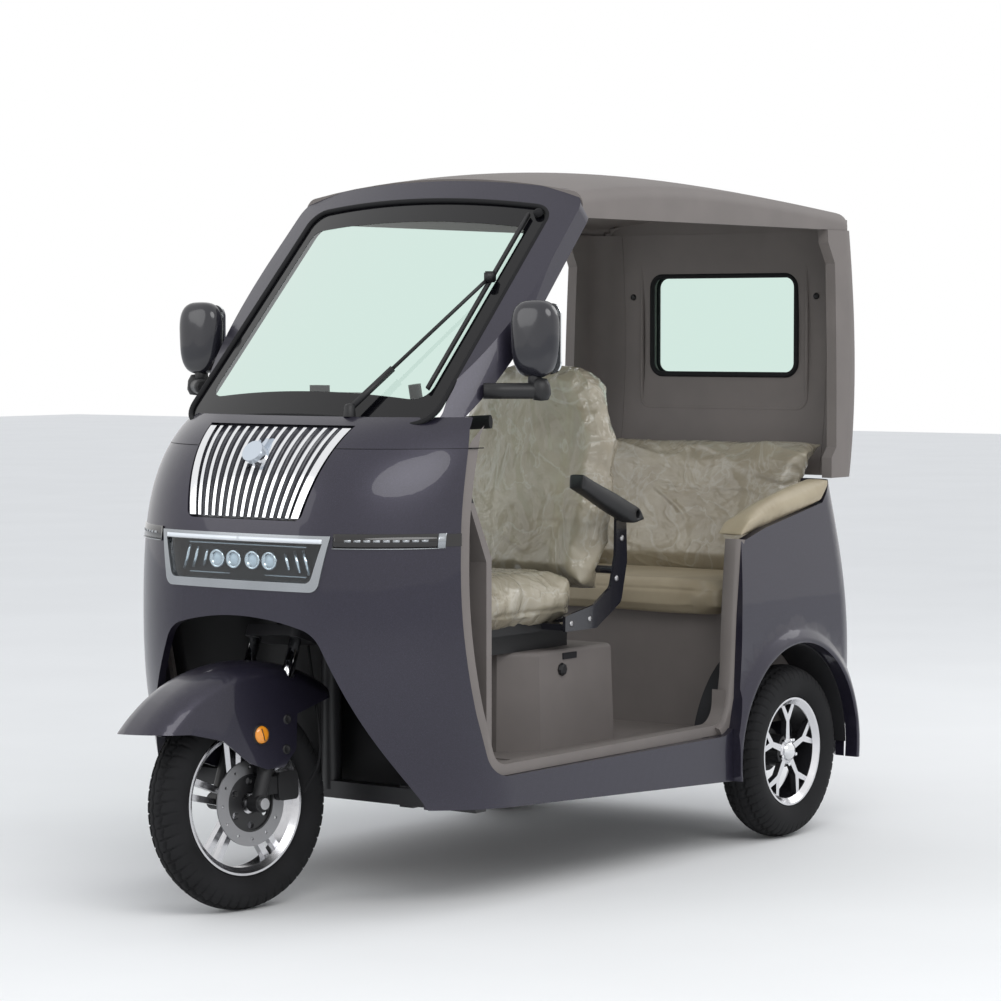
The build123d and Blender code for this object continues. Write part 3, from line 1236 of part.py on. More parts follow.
# Door trim: a moulding that lines each side opening along its front edge, the sill and the quarter
TRIM_WIDE = 26.0
TRIM_HIGH_Z = 1000.0
trim_band = offset(door_face.sketch, -SEAM) - offset(door_face.sketch, -TRIM_WIDE)
with BuildPart() as door_trim:
    for side_sign in (-1, 1):
        add(extrude(trim_band.moved(Location((0, side_sign * (TRIM_INNER + TRIM_OUTER) / 2, 0))),
                    (TRIM_OUTER - TRIM_INNER) / 2, both=True, mode=Mode.PRIVATE))
    with Locations((station(-700), 0, 280 + TRIM_HIGH_Z / 2)):
        Box(1250, 1100, TRIM_HIGH_Z, mode=Mode.INTERSECT)
    add(nose_form(4.0, REAR_SPLIT_STATION - 100), mode=Mode.INTERSECT)
    add(quarter_top_cut, mode=Mode.SUBTRACT)
save(door_trim, "door_trim")
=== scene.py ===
import json
from math import atan2, cos, exp, pi, radians, remainder, sin, sqrt

import bmesh
import bpy
from mathutils import Matrix, Vector, noise


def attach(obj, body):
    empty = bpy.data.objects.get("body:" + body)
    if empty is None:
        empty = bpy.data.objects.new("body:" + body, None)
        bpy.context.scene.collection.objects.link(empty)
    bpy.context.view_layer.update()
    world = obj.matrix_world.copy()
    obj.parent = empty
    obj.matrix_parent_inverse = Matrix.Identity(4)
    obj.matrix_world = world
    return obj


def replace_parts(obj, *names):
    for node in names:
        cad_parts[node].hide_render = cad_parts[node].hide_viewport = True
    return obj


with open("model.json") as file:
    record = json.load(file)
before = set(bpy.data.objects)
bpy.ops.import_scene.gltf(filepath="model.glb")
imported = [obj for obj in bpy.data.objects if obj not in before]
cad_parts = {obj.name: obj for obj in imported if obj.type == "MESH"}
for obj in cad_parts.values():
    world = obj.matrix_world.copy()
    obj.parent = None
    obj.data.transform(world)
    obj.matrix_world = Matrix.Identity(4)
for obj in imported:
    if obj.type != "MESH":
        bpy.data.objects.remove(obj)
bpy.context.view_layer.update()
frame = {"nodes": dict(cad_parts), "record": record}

nodes = frame["nodes"]
record = frame["record"]

# The frame's measures, in metres. Stations are distances ahead of the front axle.
FRONT_AXLE_X = 0.90023
REAR_HUB = Vector((-0.73877, 0.443, 0.225))
FRONT_HUB = Vector((0.89983, -0.00569, 0.24465))
FRONT_WHEEL_AXIS = Vector((0.16265, 0.98481, 0.06081))
STEER_PIVOT = Vector((0.86523, 0.0, 0.245))
STEER_AXIS = Vector((-0.35021, 0.0, 0.93667))
STEER_AHEAD = Vector((0.93667, 0.0, 0.35021))
STEER_REST = radians(-10.0)
BODY_HALF = 0.482

# Where the finish of a solid changes
RIM_FACE_Y = 0.4698
DISC_CARRIER_R = 0.066
BADGE_Z = 1.046
BADGE_R = 0.0283
SLAT_DEPTH = 0.013
DASH_SPLIT_Z = 0.93


def station(distance):
    """Row X of a place given by its distance ahead of the front axle."""
    return FRONT_AXLE_X + distance


def park(point):
    """Where a place on the straight-ahead fork lies at the angle the fork is parked at."""
    turn = Matrix.Rotation(STEER_REST, 3, STEER_AXIS)
    return STEER_PIVOT + turn @ (Vector(point) - STEER_PIVOT)


# Node helpers

def tree_of(name):
    """A new material, its node tree and its main shader."""
    made = bpy.data.materials.new(name)
    made.use_nodes = True
    tree = made.node_tree
    return made, tree, tree.nodes["Principled BSDF"]


def add_node(tree, kind, **values):
    """A shader node with some of its properties and inputs set."""
    made = tree.nodes.new("ShaderNode" + kind)
    for key, value in values.items():
        if key.startswith("in_"):
            made.inputs[key[3:].replace("_", " ")].default_value = value
        else:
            setattr(made, key, value)
    return made


def wire(tree, node, values):
    """Links sockets to inputs of a node, and sets other inputs to plain values."""
    for key, value in values.items():
        if isinstance(value, bpy.types.NodeSocket):
            tree.links.new(value, node.inputs[key])
        else:
            node.inputs[key].default_value = value


def calc(tree, operation, a, b=0.0, kind="Math", output=0):
    """A math node on sockets or plain values, returning its output."""
    made = add_node(tree, kind, operation=operation)
    wire(tree, made, {0: a, 1: b})
    return made.outputs[output]


def place_of(tree):
    return add_node(tree, "TexCoord").outputs["Object"]


def axes_of(tree, place):
    """The X, Y and Z outputs of a place."""
    made = add_node(tree, "SeparateXYZ")
    tree.links.new(place, made.inputs[0])
    return made.outputs


def texture(tree, place, kind, **values):
    """Noise, or the distance in Voronoi cells, at a place."""
    made = add_node(tree, "Tex" + kind, **values)
    tree.links.new(place, made.inputs["Vector"])
    return made.outputs[0]


def mixed(tree, factor, a, b):
    """Colour a where the factor is 0, colour b where it is 1."""
    made = add_node(tree, "Mix", data_type="RGBA")
    wire(tree, made, {"Factor": factor, "A": a, "B": b})
    return made.outputs["Result"]


def ranged(tree, value, low, high, start=0.0, end=1.0):
    """Brings a value that runs from start to end to the range from low to high."""
    made = add_node(tree, "MapRange")
    wire(tree, made, {"Value": value, "From Min": start, "From Max": end, "To Min": low, "To Max": high})
    return made.outputs["Result"]


def bumped(tree, height, strength, distance):
    """Normal of a surface with small heights on it."""
    made = add_node(tree, "Bump", in_Strength=strength, in_Distance=distance)
    tree.links.new(height, made.inputs["Height"])
    return made.outputs["Normal"]


def grained(tree, place, scale, strength):
    """Normal of a finely grained surface."""
    return bumped(tree, texture(tree, place, "Noise", in_Scale=scale, in_Detail=2.0), strength, 0.0004)


def blotch(tree, dark, light, scale):
    """A place, soft noise at it, and two shades mixed by that noise."""
    place = place_of(tree)
    cloud = texture(tree, place, "Noise", in_Scale=scale, in_Detail=4.0)
    ramp = add_node(tree, "ValToRGB")
    for i, (position, colour) in enumerate(((0.35, dark), (0.65, light))):
        ramp.color_ramp.elements[i].position = position
        ramp.color_ramp.elements[i].color = (*colour, 1)
    tree.links.new(cloud, ramp.inputs["Fac"])
    return place, cloud, ramp.outputs["Color"]


# Materials

def finish(name, colour, rough, metal=0.0, coat=0.0, spread=0.06, scale=9.0, grain=700.0, bump=0.05,
           rough_spread=0.06, shine=0.5):
    """A surface with soft colour variation, uneven roughness and a fine grain."""
    made, tree, shader = tree_of(name)
    dark = [c * (1 - spread) for c in colour]
    light = [min(1.0, c * (1 + spread)) for c in colour]
    place, cloud, shade = blotch(tree, dark, light, scale)
    smoothest, roughest = max(0.02, rough - rough_spread), min(1.0, rough + rough_spread)
    wire(tree, shader, {
        "Base Color": shade,
        "Roughness": ranged(tree, cloud, smoothest, roughest),
        "Normal": grained(tree, place, grain, bump),
        "Metallic": metal,
        "Specular IOR Level": shine,
        "Coat Weight": coat,
        "Coat Roughness": 0.04,
    })
    return made


def paint_finish():
    """Dark violet grey metallic paint: flakes under a clear coat."""
    made, tree, shader = tree_of("paint")
    place, _, shade = blotch(tree, (0.013, 0.012, 0.021), (0.016, 0.015, 0.026), 2.0)
    flakes = texture(tree, place, "Voronoi", in_Scale=1400.0)
    glint = calc(tree, "MULTIPLY", calc(tree, "POWER", flakes, 3.0), 0.5)
    wire(tree, shader, {
        "Base Color": mixed(tree, glint, shade, (0.10, 0.085, 0.15, 1)),
        "Normal": bumped(tree, flakes, 0.05, 0.0003),
        "Metallic": 0.5,
        "Roughness": 0.36,
        "Coat Weight": 0.5,
        "Coat Roughness": 0.03,
    })
    return made


def clear_finish(name, tint, gloss):
    """Thin clear sheet: what is behind shows, and its outer side shines, most at a flat angle."""
    made, tree, shader = tree_of(name)
    tree.nodes.remove(shader)
    through = add_node(tree, "BsdfTransparent", in_Color=(*tint, 1))
    shine = add_node(tree, "BsdfGlossy", in_Roughness=0.03)
    ripple = texture(tree, place_of(tree), "Noise", in_Scale=6.0)
    tree.links.new(bumped(tree, ripple, 0.02, 0.002), shine.inputs["Normal"])
    edge = add_node(tree, "Fresnel", in_IOR=1.45)
    facing = add_node(tree, "NewGeometry")
    outside = calc(tree, "SUBTRACT", 1.0, facing.outputs["Backfacing"])
    share = calc(tree, "MULTIPLY", calc(tree, "MULTIPLY", edge.outputs["Fac"], gloss), outside)
    blend = add_node(tree, "MixShader")
    wire(tree, blend, {"Fac": share, 1: through.outputs[0], 2: shine.outputs[0]})
    tree.links.new(blend.outputs[0], tree.nodes["Material Output"].inputs["Surface"])
    return made


def vinyl_finish(name, film):
    """Beige grained vinyl. With film it looks as under a clear wrapping, with painted highlights along its
    creases.
    """
    made, tree, shader = tree_of(name)
    bare = ((0.33, 0.275, 0.185), (0.40, 0.34, 0.235))
    wrapped = ((0.26, 0.220, 0.150), (0.34, 0.295, 0.205))
    place, _, shade = blotch(tree, *(wrapped if film else bare), 7.0)
    pores = texture(tree, place, "Voronoi", in_Scale=520.0)
    wire(tree, shader, {"Normal": bumped(tree, pores, 0.16, 0.0006), "Roughness": 0.5, "Base Color": shade})
    if film:
        wrapping(tree, shader, place, shade)
    return made


def wrapping(tree, shader, place, shade):
    """A creased glossy coat, a milky haze over the shade, and painted highlights that whiten the crease
    edges.
    """
    swell = texture(tree, place, "Noise", in_Scale=5.0, in_Detail=5.0, in_Distortion=2.2)
    crease = texture(tree, place, "Noise", in_Scale=7.0, in_Detail=5.0, in_Distortion=1.4)
    ridge = calc(tree, "ABSOLUTE", calc(tree, "SUBTRACT", crease, 0.5))
    height = calc(tree, "ADD", swell, calc(tree, "MULTIPLY", ridge, 1.6))
    haze = calc(tree, "MULTIPLY", calc(tree, "POWER", swell, 2.0), 0.30)
    # The pale colour along the crease edges is painted highlight. The broad haze is the film's own milkiness.
    haze_and_painted_highlight = calc(tree, "ADD", ranged(tree, ridge, 0.20, 0.0, end=0.035), haze)
    wire(tree, shader, {
        "Base Color": mixed(tree, haze_and_painted_highlight, shade, (0.62, 0.61, 0.56, 1)),
        "Coat Normal": bumped(tree, height, 0.9, 0.016),
        "Coat Weight": 1.0,
        "Coat Roughness": 0.10,
    })


def rear_rim_finish():
    """Cast wheel: black in its pockets, machined bright on the outer faces."""
    made, tree, shader = tree_of("rear_alloy")
    place = place_of(tree)
    outer = calc(tree, "GREATER_THAN", calc(tree, "ABSOLUTE", axes_of(tree, place)["Y"]), RIM_FACE_Y)
    cloud = texture(tree, place, "Noise", in_Scale=60.0)
    wire(tree, shader, {
        "Base Color": mixed(tree, outer, (0.015, 0.015, 0.017, 1), (0.72, 0.72, 0.74, 1)),
        "Metallic": outer,
        "Roughness": ranged(tree, cloud, 0.16, 0.3),
    })
    return made


def dashboard_finish():
    """Black above the knees, the moulded trim's colour below."""
    made, tree, shader = tree_of("dashboard")
    place, _, shade = blotch(tree, (0.166, 0.148, 0.138), (0.184, 0.164, 0.154), 9.0)
    upper = calc(tree, "GREATER_THAN", axes_of(tree, place)["Z"], DASH_SPLIT_Z)
    wire(tree, shader, {
        "Base Color": mixed(tree, upper, shade, (0.014, 0.014, 0.015, 1)),
        "Normal": grained(tree, place, 900.0, 0.25),
        "Roughness": 0.6,
        "Specular IOR Level": 0.4,
    })
    return made


def disc_finish():
    """Brake disc: bright swept ring, black carrier."""
    made, tree, shader = tree_of("disc_steel")
    arm = calc(tree, "SUBTRACT", place_of(tree), FRONT_HUB, "VectorMath")
    turn = calc(tree, "CROSS_PRODUCT", arm, FRONT_WHEEL_AXIS, "VectorMath")
    reach = calc(tree, "LENGTH", turn, (0, 0, 0), "VectorMath", "Value")
    swept = calc(tree, "GREATER_THAN", reach, DISC_CARRIER_R)
    lines = calc(tree, "SINE", calc(tree, "MULTIPLY", reach, 3000.0))
    wire(tree, shader, {
        "Base Color": mixed(tree, swept, (0.014, 0.014, 0.015, 1), (0.30, 0.30, 0.31, 1)),
        "Metallic": swept,
        "Roughness": ranged(tree, lines, 0.28, 0.42, start=-1.0),
    })
    return made


def front_curve(tree, low_z, high_z, back_x, depth):
    """A curve node with the nose's front line: height in, distance ahead of back_x out, as shares."""
    line = add_node(tree, "FloatCurve")
    curve = line.mapping.curves[0]
    steps = 24
    shares = [i / steps for i in range(steps + 1)]
    spots = [(share, (nose_x(0.0, low_z + share * (high_z - low_z)) - back_x) / depth) for share in shares]
    curve.points[0].location = spots[0]
    curve.points[1].location = spots[-1]
    for share, ahead in spots[1:-1]:
        curve.points.new(share, ahead)
    line.mapping.update()
    return line


def grille_finish():
    """Chrome on the slats' outer faces, dark grey in the tray behind them, pale on the disc."""
    made, tree, shader = tree_of("grille_chrome")
    axes = axes_of(tree, place_of(tree))
    low_z, high_z = NOSE_SECTIONS[0][0], NOSE_SECTIONS[-1][0]
    back_x, depth = 0.6, 0.5
    line = front_curve(tree, low_z, high_z, back_x, depth)
    share = calc(tree, "DIVIDE", calc(tree, "SUBTRACT", axes["Z"], low_z), high_z - low_z)
    tree.links.new(share, line.inputs["Value"])
    front = calc(tree, "ADD", calc(tree, "MULTIPLY", line.outputs["Value"], depth), back_x)
    aside = calc(tree, "MULTIPLY", axes["Y"], axes["Y"])
    surface = calc(tree, "SUBTRACT", front, calc(tree, "MULTIPLY", aside, 0.5 / NOSE_CROWN_R))
    deep = calc(tree, "GREATER_THAN", calc(tree, "SUBTRACT", surface, axes["X"]), SLAT_DEPTH)
    rise = calc(tree, "SUBTRACT", axes["Z"], BADGE_Z)
    reach = calc(tree, "ADD", calc(tree, "MULTIPLY", rise, rise), aside)
    badge = calc(tree, "LESS_THAN", reach, BADGE_R ** 2)
    slats = mixed(tree, deep, (0.80, 0.81, 0.83, 1), (0.045, 0.045, 0.055, 1))
    metal = calc(tree, "MAXIMUM", calc(tree, "SUBTRACT", 1.0, deep), badge)
    wire(tree, shader, {
        "Base Color": mixed(tree, badge, slats, (0.55, 0.60, 0.66, 1)),
        "Metallic": calc(tree, "SUBTRACT", metal, calc(tree, "MULTIPLY", badge, 0.7)),
        "Roughness": 0.14,
    })
    return made


# The nose's surface. Columns: height, station of the front, half width, corner radius
NOSE_CROWN_R = 2.0
NOSE_SECTIONS = (
    (0.170, -0.030, BODY_HALF + 0.004, 0.330),
    (0.480, -0.004, BODY_HALF, 0.340),
    (0.760, 0.004, BODY_HALF, 0.340),
    (0.900, -0.012, BODY_HALF - 0.002, 0.340),
    (1.000, -0.048, BODY_HALF - 0.008, 0.335),
    (1.070, -0.100, BODY_HALF - 0.016, 0.325),
    (1.125, -0.178, BODY_HALF - 0.026, 0.300),
)


def curve_through(rows, place):
    """The later columns of a table at a value of its first, on the curve through its rows."""
    values = [0.0] * (len(rows[0]) - 1)
    for row in rows:
        weight = 1.0
        for other in rows:
            if other is not row:
                weight *= (place - other[0]) / (row[0] - other[0])
        values = [total + weight * value for total, value in zip(values, row[1:])]
    return values


def section_at(height):
    """Front, half width and corner radius of the nose at a height, from the four sections about it."""
    last = len(NOSE_SECTIONS) - 1
    below = max(i for i in range(last) if NOSE_SECTIONS[i][0] <= height or i == 0)
    first = max(0, min(below - 1, last - 3))
    return curve_through(NOSE_SECTIONS[first:first + 4], height)


def nose_path(height, proud=0.0):
    """Half plan of the nose at a height, from its middle round the left corner and back."""
    front, half, corner = section_at(height)
    crown = NOSE_CROWN_R + proud
    rounding = corner + proud
    face_x = station(front) + proud
    arm = half + proud - rounding
    centre_x = face_x - crown + sqrt((crown - rounding) ** 2 - arm ** 2)
    turn = atan2(arm, centre_x - face_x + crown)
    face_steps, corner_steps = 12, 60
    points = []
    for i in range(face_steps):
        angle = turn * i / face_steps
        points.append(Vector((face_x - crown + crown * cos(angle), crown * sin(angle), height)))
    for i in range(corner_steps + 1):
        angle = turn + (pi / 2 - turn) * i / corner_steps
        points.append(Vector((centre_x + rounding * cos(angle), arm + rounding * sin(angle), height)))
    side_length, side_flare = 0.5, 0.009
    points.append(Vector((centre_x - side_length, half + proud + side_flare, height)))
    return points


def along(points, length):
    """The place a given length along a line of points."""
    for start, end in zip(points, points[1:]):
        run = (end - start).length
        if length <= run:
            return start.lerp(end, length / run)
        length -= run
    return points[-1]


def nose_x(across, height):
    """Row X of the nose's surface at a distance from the middle and a height."""
    points = nose_path(height)
    for start, end in zip(points, points[1:]):
        if start.y <= across <= end.y:
            return start.lerp(end, (across - start.y) / (end.y - start.y)).x
    return points[-1].x


MATERIALS = {
    "paint": paint_finish(),
    "trim": finish("trim", (0.175, 0.156, 0.146), 0.62, bump=0.25, grain=900.0, spread=0.05, shine=0.4),
    "glass": clear_finish("glass", (0.80, 0.90, 0.86), 2.2),
    "frame": finish("frame", (0.018, 0.018, 0.020), 0.42, spread=0.15),
    "dark": finish("dark", (0.016, 0.016, 0.018), 0.7, bump=0.3, spread=0.15, shine=0.3),
    "black": finish("black", (0.012, 0.012, 0.013), 0.45, bump=0.25, spread=0.12, shine=0.4),
    "gloss_black": finish("gloss_black", (0.014, 0.014, 0.019), 0.16, coat=0.4, bump=0.0, spread=0.1),
    "chrome": finish("chrome", (0.80, 0.81, 0.83), 0.10, metal=1.0, spread=0.02, bump=0.0, rough_spread=0.03),
    "lamp": clear_finish("lamp", (0.86, 0.90, 0.92), 1.6),
    "lamp_dark": finish("lamp_dark", (0.006, 0.005, 0.005), 0.10, coat=0.4, bump=0.0),
    "lamp_red": finish("lamp_red", (0.36, 0.012, 0.010), 0.14, coat=0.8, bump=0.0),
    "mirror": finish("mirror", (0.85, 0.87, 0.88), 0.03, metal=1.0, spread=0.01, bump=0.0, rough_spread=0.01),
    "vinyl": vinyl_finish("vinyl", False),
    "steel": finish("steel", (0.42, 0.42, 0.43), 0.34, metal=1.0, spread=0.12, scale=40.0),
    "alloy": finish("alloy", (0.58, 0.58, 0.60), 0.24, metal=1.0, spread=0.06, scale=30.0),
    "tyre": finish("tyre", (0.013, 0.013, 0.014), 0.78, bump=0.4, grain=500.0, spread=0.25, shine=0.2),
    "rubber": finish("rubber", (0.011, 0.011, 0.012), 0.7, bump=0.2, shine=0.2),
}
FILM_VINYL = vinyl_finish("film_vinyl", True)
AMBER = finish("amber", (0.85, 0.30, 0.02), 0.16, coat=0.8, bump=0.0)
LAMP_WHITE = finish("lamp_white", (0.78, 0.82, 0.86), 0.12, coat=1.0, bump=0.0, spread=0.03)
SILVER = finish("silver", (0.36, 0.38, 0.40), 0.24, metal=0.9, spread=0.03, bump=0.05)
FRIT = finish("frit", (0.003, 0.003, 0.004), 0.08, bump=0.0, shine=0.35)


def dress(name, material):
    """Puts a finish on a carried-over node."""
    slots = nodes[name].material_slots
    if slots:
        for place in slots:
            place.material = material
    else:
        nodes[name].data.materials.append(material)


for part in record["subparts"]:
    dress(part["node"], MATERIALS[part["material_slot"]])
for side in ("left", "right"):
    dress("rear_rim_" + side, rear_rim_finish())
dress("grille", grille_finish())
dress("brake_disc", disc_finish())
dress("dashboard", dashboard_finish())
dress("headlamp_bezel", SILVER)


# Mesh building. A part is a pair of points and faces.

def joined(parts):
    """One mesh of many parts."""
    points, faces = [], []
    for more_points, more_faces in parts:
        start = len(points)
        points += [tuple(p) for p in more_points]
        faces += [tuple(start + i for i in face) for face in more_faces]
    made = bpy.data.meshes.new("mesh")
    made.from_pydata(points, [], faces)
    made.update()
    return made


def piece(name, parts, slot, body="body", material=None, smooth=True):
    """Makes an object of parts, or of a mesh, with its finish, slot and body."""
    mesh = joined(parts) if isinstance(parts, list) else parts
    made = bpy.data.objects.new(name, mesh)
    bpy.context.scene.collection.objects.link(made)
    mesh.materials.clear()
    mesh.materials.append(MATERIALS[slot] if material is None else material)
    if smooth:
        mesh.shade_smooth()
    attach(made, body)
    return made


def grid_faces(rows, columns, wrap_rows=False, wrap_columns=False, flip=False):
    """Faces between points that lie row after row. A wrapped grid closes on itself."""
    faces = []
    for i in range(rows if wrap_rows else rows - 1):
        low, high = i * columns, (i + 1) % rows * columns
        for j in range(columns if wrap_columns else columns - 1):
            k = (j + 1) % columns
            face = (low + j, low + k, high + k, high + j)
            faces.append((face[0], face[3], face[2], face[1]) if flip else face)
    return faces


def end_faces(rows, columns):
    """Faces that close the first and last row of a tube."""
    last = (rows - 1) * columns
    return [tuple(range(columns))[::-1], tuple(range(last, last + columns))]


def frame_of(axis):
    """Two directions square to an axis and to each other."""
    axis = Vector(axis).normalized()
    side = axis.orthogonal().normalized()
    return side, axis.cross(side)


def tube_parts(path, radius, closed=False, sides=10):
    """Points and faces of a tube along a path."""
    points = []
    count = len(path)
    normal = None
    for i, place in enumerate(path):
        ahead = path[(i + 1) % count] if closed or i + 1 < count else place
        behind = path[i - 1] if closed or i else place
        run = (ahead - behind).normalized()
        if normal is None:
            normal = run.orthogonal().normalized()
        normal = (normal - run * normal.dot(run)).normalized()
        other = run.cross(normal)
        for j in range(sides):
            angle = 2 * pi * j / sides
            points.append(place + (normal * cos(angle) + other * sin(angle)) * radius)
    ends = [] if closed else end_faces(count, sides)
    return points, grid_faces(count, sides, closed, True) + ends


def turned_parts(profile, centre, axis, segments=32, cut=None):
    """Points and faces of a profile of (radius, distance) turned about an axis, less what cut takes off."""
    side, other = frame_of(axis)
    axis = Vector(axis).normalized()
    points = []
    for i in range(segments):
        angle = 2 * pi * i / segments
        spoke = side * cos(angle) + other * sin(angle)
        for j, (reach, shift) in enumerate(profile):
            depth = cut(angle, j, shift) if cut else 0.0
            points.append(Vector(centre) + spoke * (reach - depth) + axis * shift)
    return points, grid_faces(segments, len(profile), wrap_rows=True, flip=True)


def box_parts(centre, size, turn=Matrix.Identity(3)):
    """Points and faces of a block with chamfered edges."""
    block = bmesh.new()
    bmesh.ops.create_cube(block, size=1.0)
    for vertex in block.verts:
        vertex.co = Vector([a * b for a, b in zip(vertex.co, size)])
    bmesh.ops.bevel(block, geom=block.edges[:], offset=min(size) * 0.18, segments=2, affect="EDGES")
    points = [Vector(centre) + turn @ v.co for v in block.verts]
    block.verts.index_update()
    faces = [tuple(v.index for v in f.verts) for f in block.faces]
    block.free()
    return points, faces


def screw_parts(place, normal, scale):
    """A round screw head."""
    profile = ((0.0, 0.0026), (0.0030, 0.0026), (0.0048, 0.0018), (0.0060, 0.0), (0.0060, -0.001))
    return turned_parts([(r * scale, d * scale) for r, d in profile], place, normal, 16)


# Tyres with their road tread. Columns: outer radius, half width, flange radius, half width of the rim
FRONT_TYRE = (0.245, 0.046, 0.166, 0.030)
REAR_TYRE = (0.225, 0.054, 0.141, 0.042)
GROOVE_DEPTH = 0.0052
TREAD_BLOCKS = 54
STEPS_PER_BLOCK = 10
SHOULDER_DROP = 0.015
SHOULDER_INSET = 0.009


def arc_through(a, b, c, steps):
    """Points on the arc from a through b to c, in the half section."""
    (ax, ay), (bx, by), (cx, cy) = a, b, c
    aa, bb, cc = ax * ax + ay * ay, bx * bx + by * by, cx * cx + cy * cy
    d = 2 * (ax * (by - cy) + bx * (cy - ay) + cx * (ay - by))
    centre_x = (aa * (by - cy) + bb * (cy - ay) + cc * (ay - by)) / d
    centre_y = (aa * (cx - bx) + bb * (ax - cx) + cc * (bx - ax)) / d
    radius = sqrt((ax - centre_x) ** 2 + (ay - centre_y) ** 2)
    first, middle, last = (atan2(y - centre_y, x - centre_x) for x, y in (a, b, c))
    middle = first + remainder(middle - first, 2 * pi)
    last = middle + remainder(last - middle, 2 * pi)
    angles = [first + (last - first) * i / steps for i in range(steps + 1)]
    return [(centre_x + radius * cos(angle), centre_y + radius * sin(angle)) for angle in angles]


ZIGZAG = 0.0028
GROOVE_LINE = 0.42
SLIT_LEAN = 0.42
SLIT_START = 0.2


def notch(gap, half, slope):
    """Depth of a slit from 0 to 1, at a gap from its middle. Its edges slope over the last part."""
    return min(1.0, max(0.0, (half - gap) / slope))


def groove(angle, across, half):
    """How deep the tread is cut, from 0 to 1, at an angle and a place across the tyre."""
    phase = angle * TREAD_BLOCKS / (2 * pi)
    swing = ZIGZAG * (2 * abs(2 * (phase % 1.0) - 1) - 1)
    cut = notch(abs(across - swing * 0.8), 0.0026, 0.0012) * 0.8
    for line in (-GROOVE_LINE, GROOVE_LINE):
        cut = max(cut, notch(abs(across - line * half - swing), 0.0042, 0.0016))
    lean = phase + across / half * SLIT_LEAN + (0.5 if across > 0 else 0.0)
    slit = abs((lean % 1.0) - 0.5) * (2 * pi / TREAD_BLOCKS) * 0.235
    if abs(across) > SLIT_START * half:
        cut = max(cut, notch(slit, 0.0024, 0.0010))
    return cut


def treaded_tyre(name, node, body, centre, axis, sizes):
    """A tyre turned from its section, its crown cut by zigzag grooves and slits."""
    outer, half, flange, rim_half = sizes
    wide = (flange + outer) / 2 + 0.003
    shoulder = outer - SHOULDER_DROP
    edge = half - SHOULDER_INSET
    crown = arc_through((shoulder, -edge), (outer, 0.0), (shoulder, edge), 44)
    wall = arc_through((shoulder, edge), (wide, half), (flange + 0.003, rim_half + 0.001), 9)
    bead = [(flange + 0.001, rim_half - 0.011), (flange - 0.011, rim_half - 0.012)]
    side = wall[1:] + bead
    profile = [(r, -y) for r, y in reversed(side)] + crown + side
    tread = range(len(side) - 2, len(side) + len(crown) + 2)

    def cut(angle, j, shift):
        return GROOVE_DEPTH * groove(angle, shift, half) if j in tread else 0.0

    tyre = turned_parts(profile, centre, axis, TREAD_BLOCKS * STEPS_PER_BLOCK, cut)
    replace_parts(piece(name, [tyre], "tyre", body), node)


def wheels():
    """Treaded tyres, and the rear wheels' hub caps and nuts."""
    treaded_tyre("front_tread", "front_tyre", "front_wheel", FRONT_HUB, FRONT_WHEEL_AXIS, FRONT_TYRE)
    cap = [(0.0, 0.045), (0.012, 0.044), (0.020, 0.040), (0.0245, 0.034), (0.026, 0.0302), (0.0, 0.0302)]
    nut = [(0.0, 0.007), (0.0042, 0.007), (0.0052, 0.005), (0.0052, -0.003)]
    nut_count, nut_ring, nut_out = 5, 0.034, 0.028
    for side_name, sign in (("left", 1), ("right", -1)):
        hub = Vector((REAR_HUB.x, sign * REAR_HUB.y, REAR_HUB.z))
        body = "rear_" + side_name + "_wheel"
        treaded_tyre("rear_tread_" + side_name, "rear_tyre_" + side_name, body, hub, (0, 1, 0), REAR_TYRE)
        out = Vector((0, sign, 0))
        piece("hub_cap_" + side_name, [turned_parts(cap, hub, out)], "chrome", body)
        nuts = []
        for i in range(nut_count):
            angle = 2 * pi * (i + 0.5) / nut_count
            place = hub + Vector((sin(angle) * nut_ring, 0, cos(angle) * nut_ring)) + out * nut_out
            nuts.append(turned_parts(nut, place, out, 6))
        piece("lug_nuts_" + side_name, nuts, "chrome", body, smooth=False)


# Windscreen: printed black border, rubber seal

SCREEN_SLOPE = radians(45.5)
UP_SLOPE = Vector((-cos(SCREEN_SLOPE), 0, sin(SCREEN_SLOPE)))
OUT_SLOPE = Vector((sin(SCREEN_SLOPE), 0, cos(SCREEN_SLOPE)))
SCREEN_BASE = Vector((station(-0.195), 0, 1.118))
SCREEN_CROWN_R = 1.85
GLASS_LOW, GLASS_HIGH = 0.005, 0.725
GLASS_HALF_LOW, GLASS_HALF_HIGH = 0.371, 0.365
BORDER_LOW, BORDER_HIGH = 0.082, 0.070
BORDER_SIDE_LOW, BORDER_SIDE_HIGH = 0.044, 0.040


def on_screen(across, climb, lift):
    """Place on the curved glass: sideways, up the slope, and lifted off its outer face."""
    sag = SCREEN_CROWN_R - sqrt(SCREEN_CROWN_R ** 2 - across ** 2)
    return SCREEN_BASE + UP_SLOPE * climb + OUT_SLOPE * (lift - sag) + Vector((0, across, 0))


def rounded_loop(low, high, half_low, half_high, low_corner, high_corner, most):
    """Closed outline of a panel with rounded corners, as (across, climb) pairs with no long gaps."""
    corners = [(half_low, low, low_corner, -90), (half_high, high, high_corner, 0),
               (-half_high, high, high_corner, 90), (-half_low, low, low_corner, 180)]
    steps = 10
    loop = []
    for across, climb, corner, first in corners:
        middle_x = across - corner * (1 if across > 0 else -1)
        middle_y = climb - corner * (1 if climb == high else -1)
        for i in range(steps + 1):
            angle = radians(first + 90 * i / steps)
            loop.append((middle_x + corner * cos(angle), middle_y + corner * sin(angle)))
    dense = []
    for (ax, ay), (bx, by) in zip(loop, loop[1:] + loop[:1]):
        count = max(1, int(sqrt((bx - ax) ** 2 + (by - ay) ** 2) / most))
        dense += [(ax + (bx - ax) * i / count, ay + (by - ay) * i / count) for i in range(count)]
    return dense


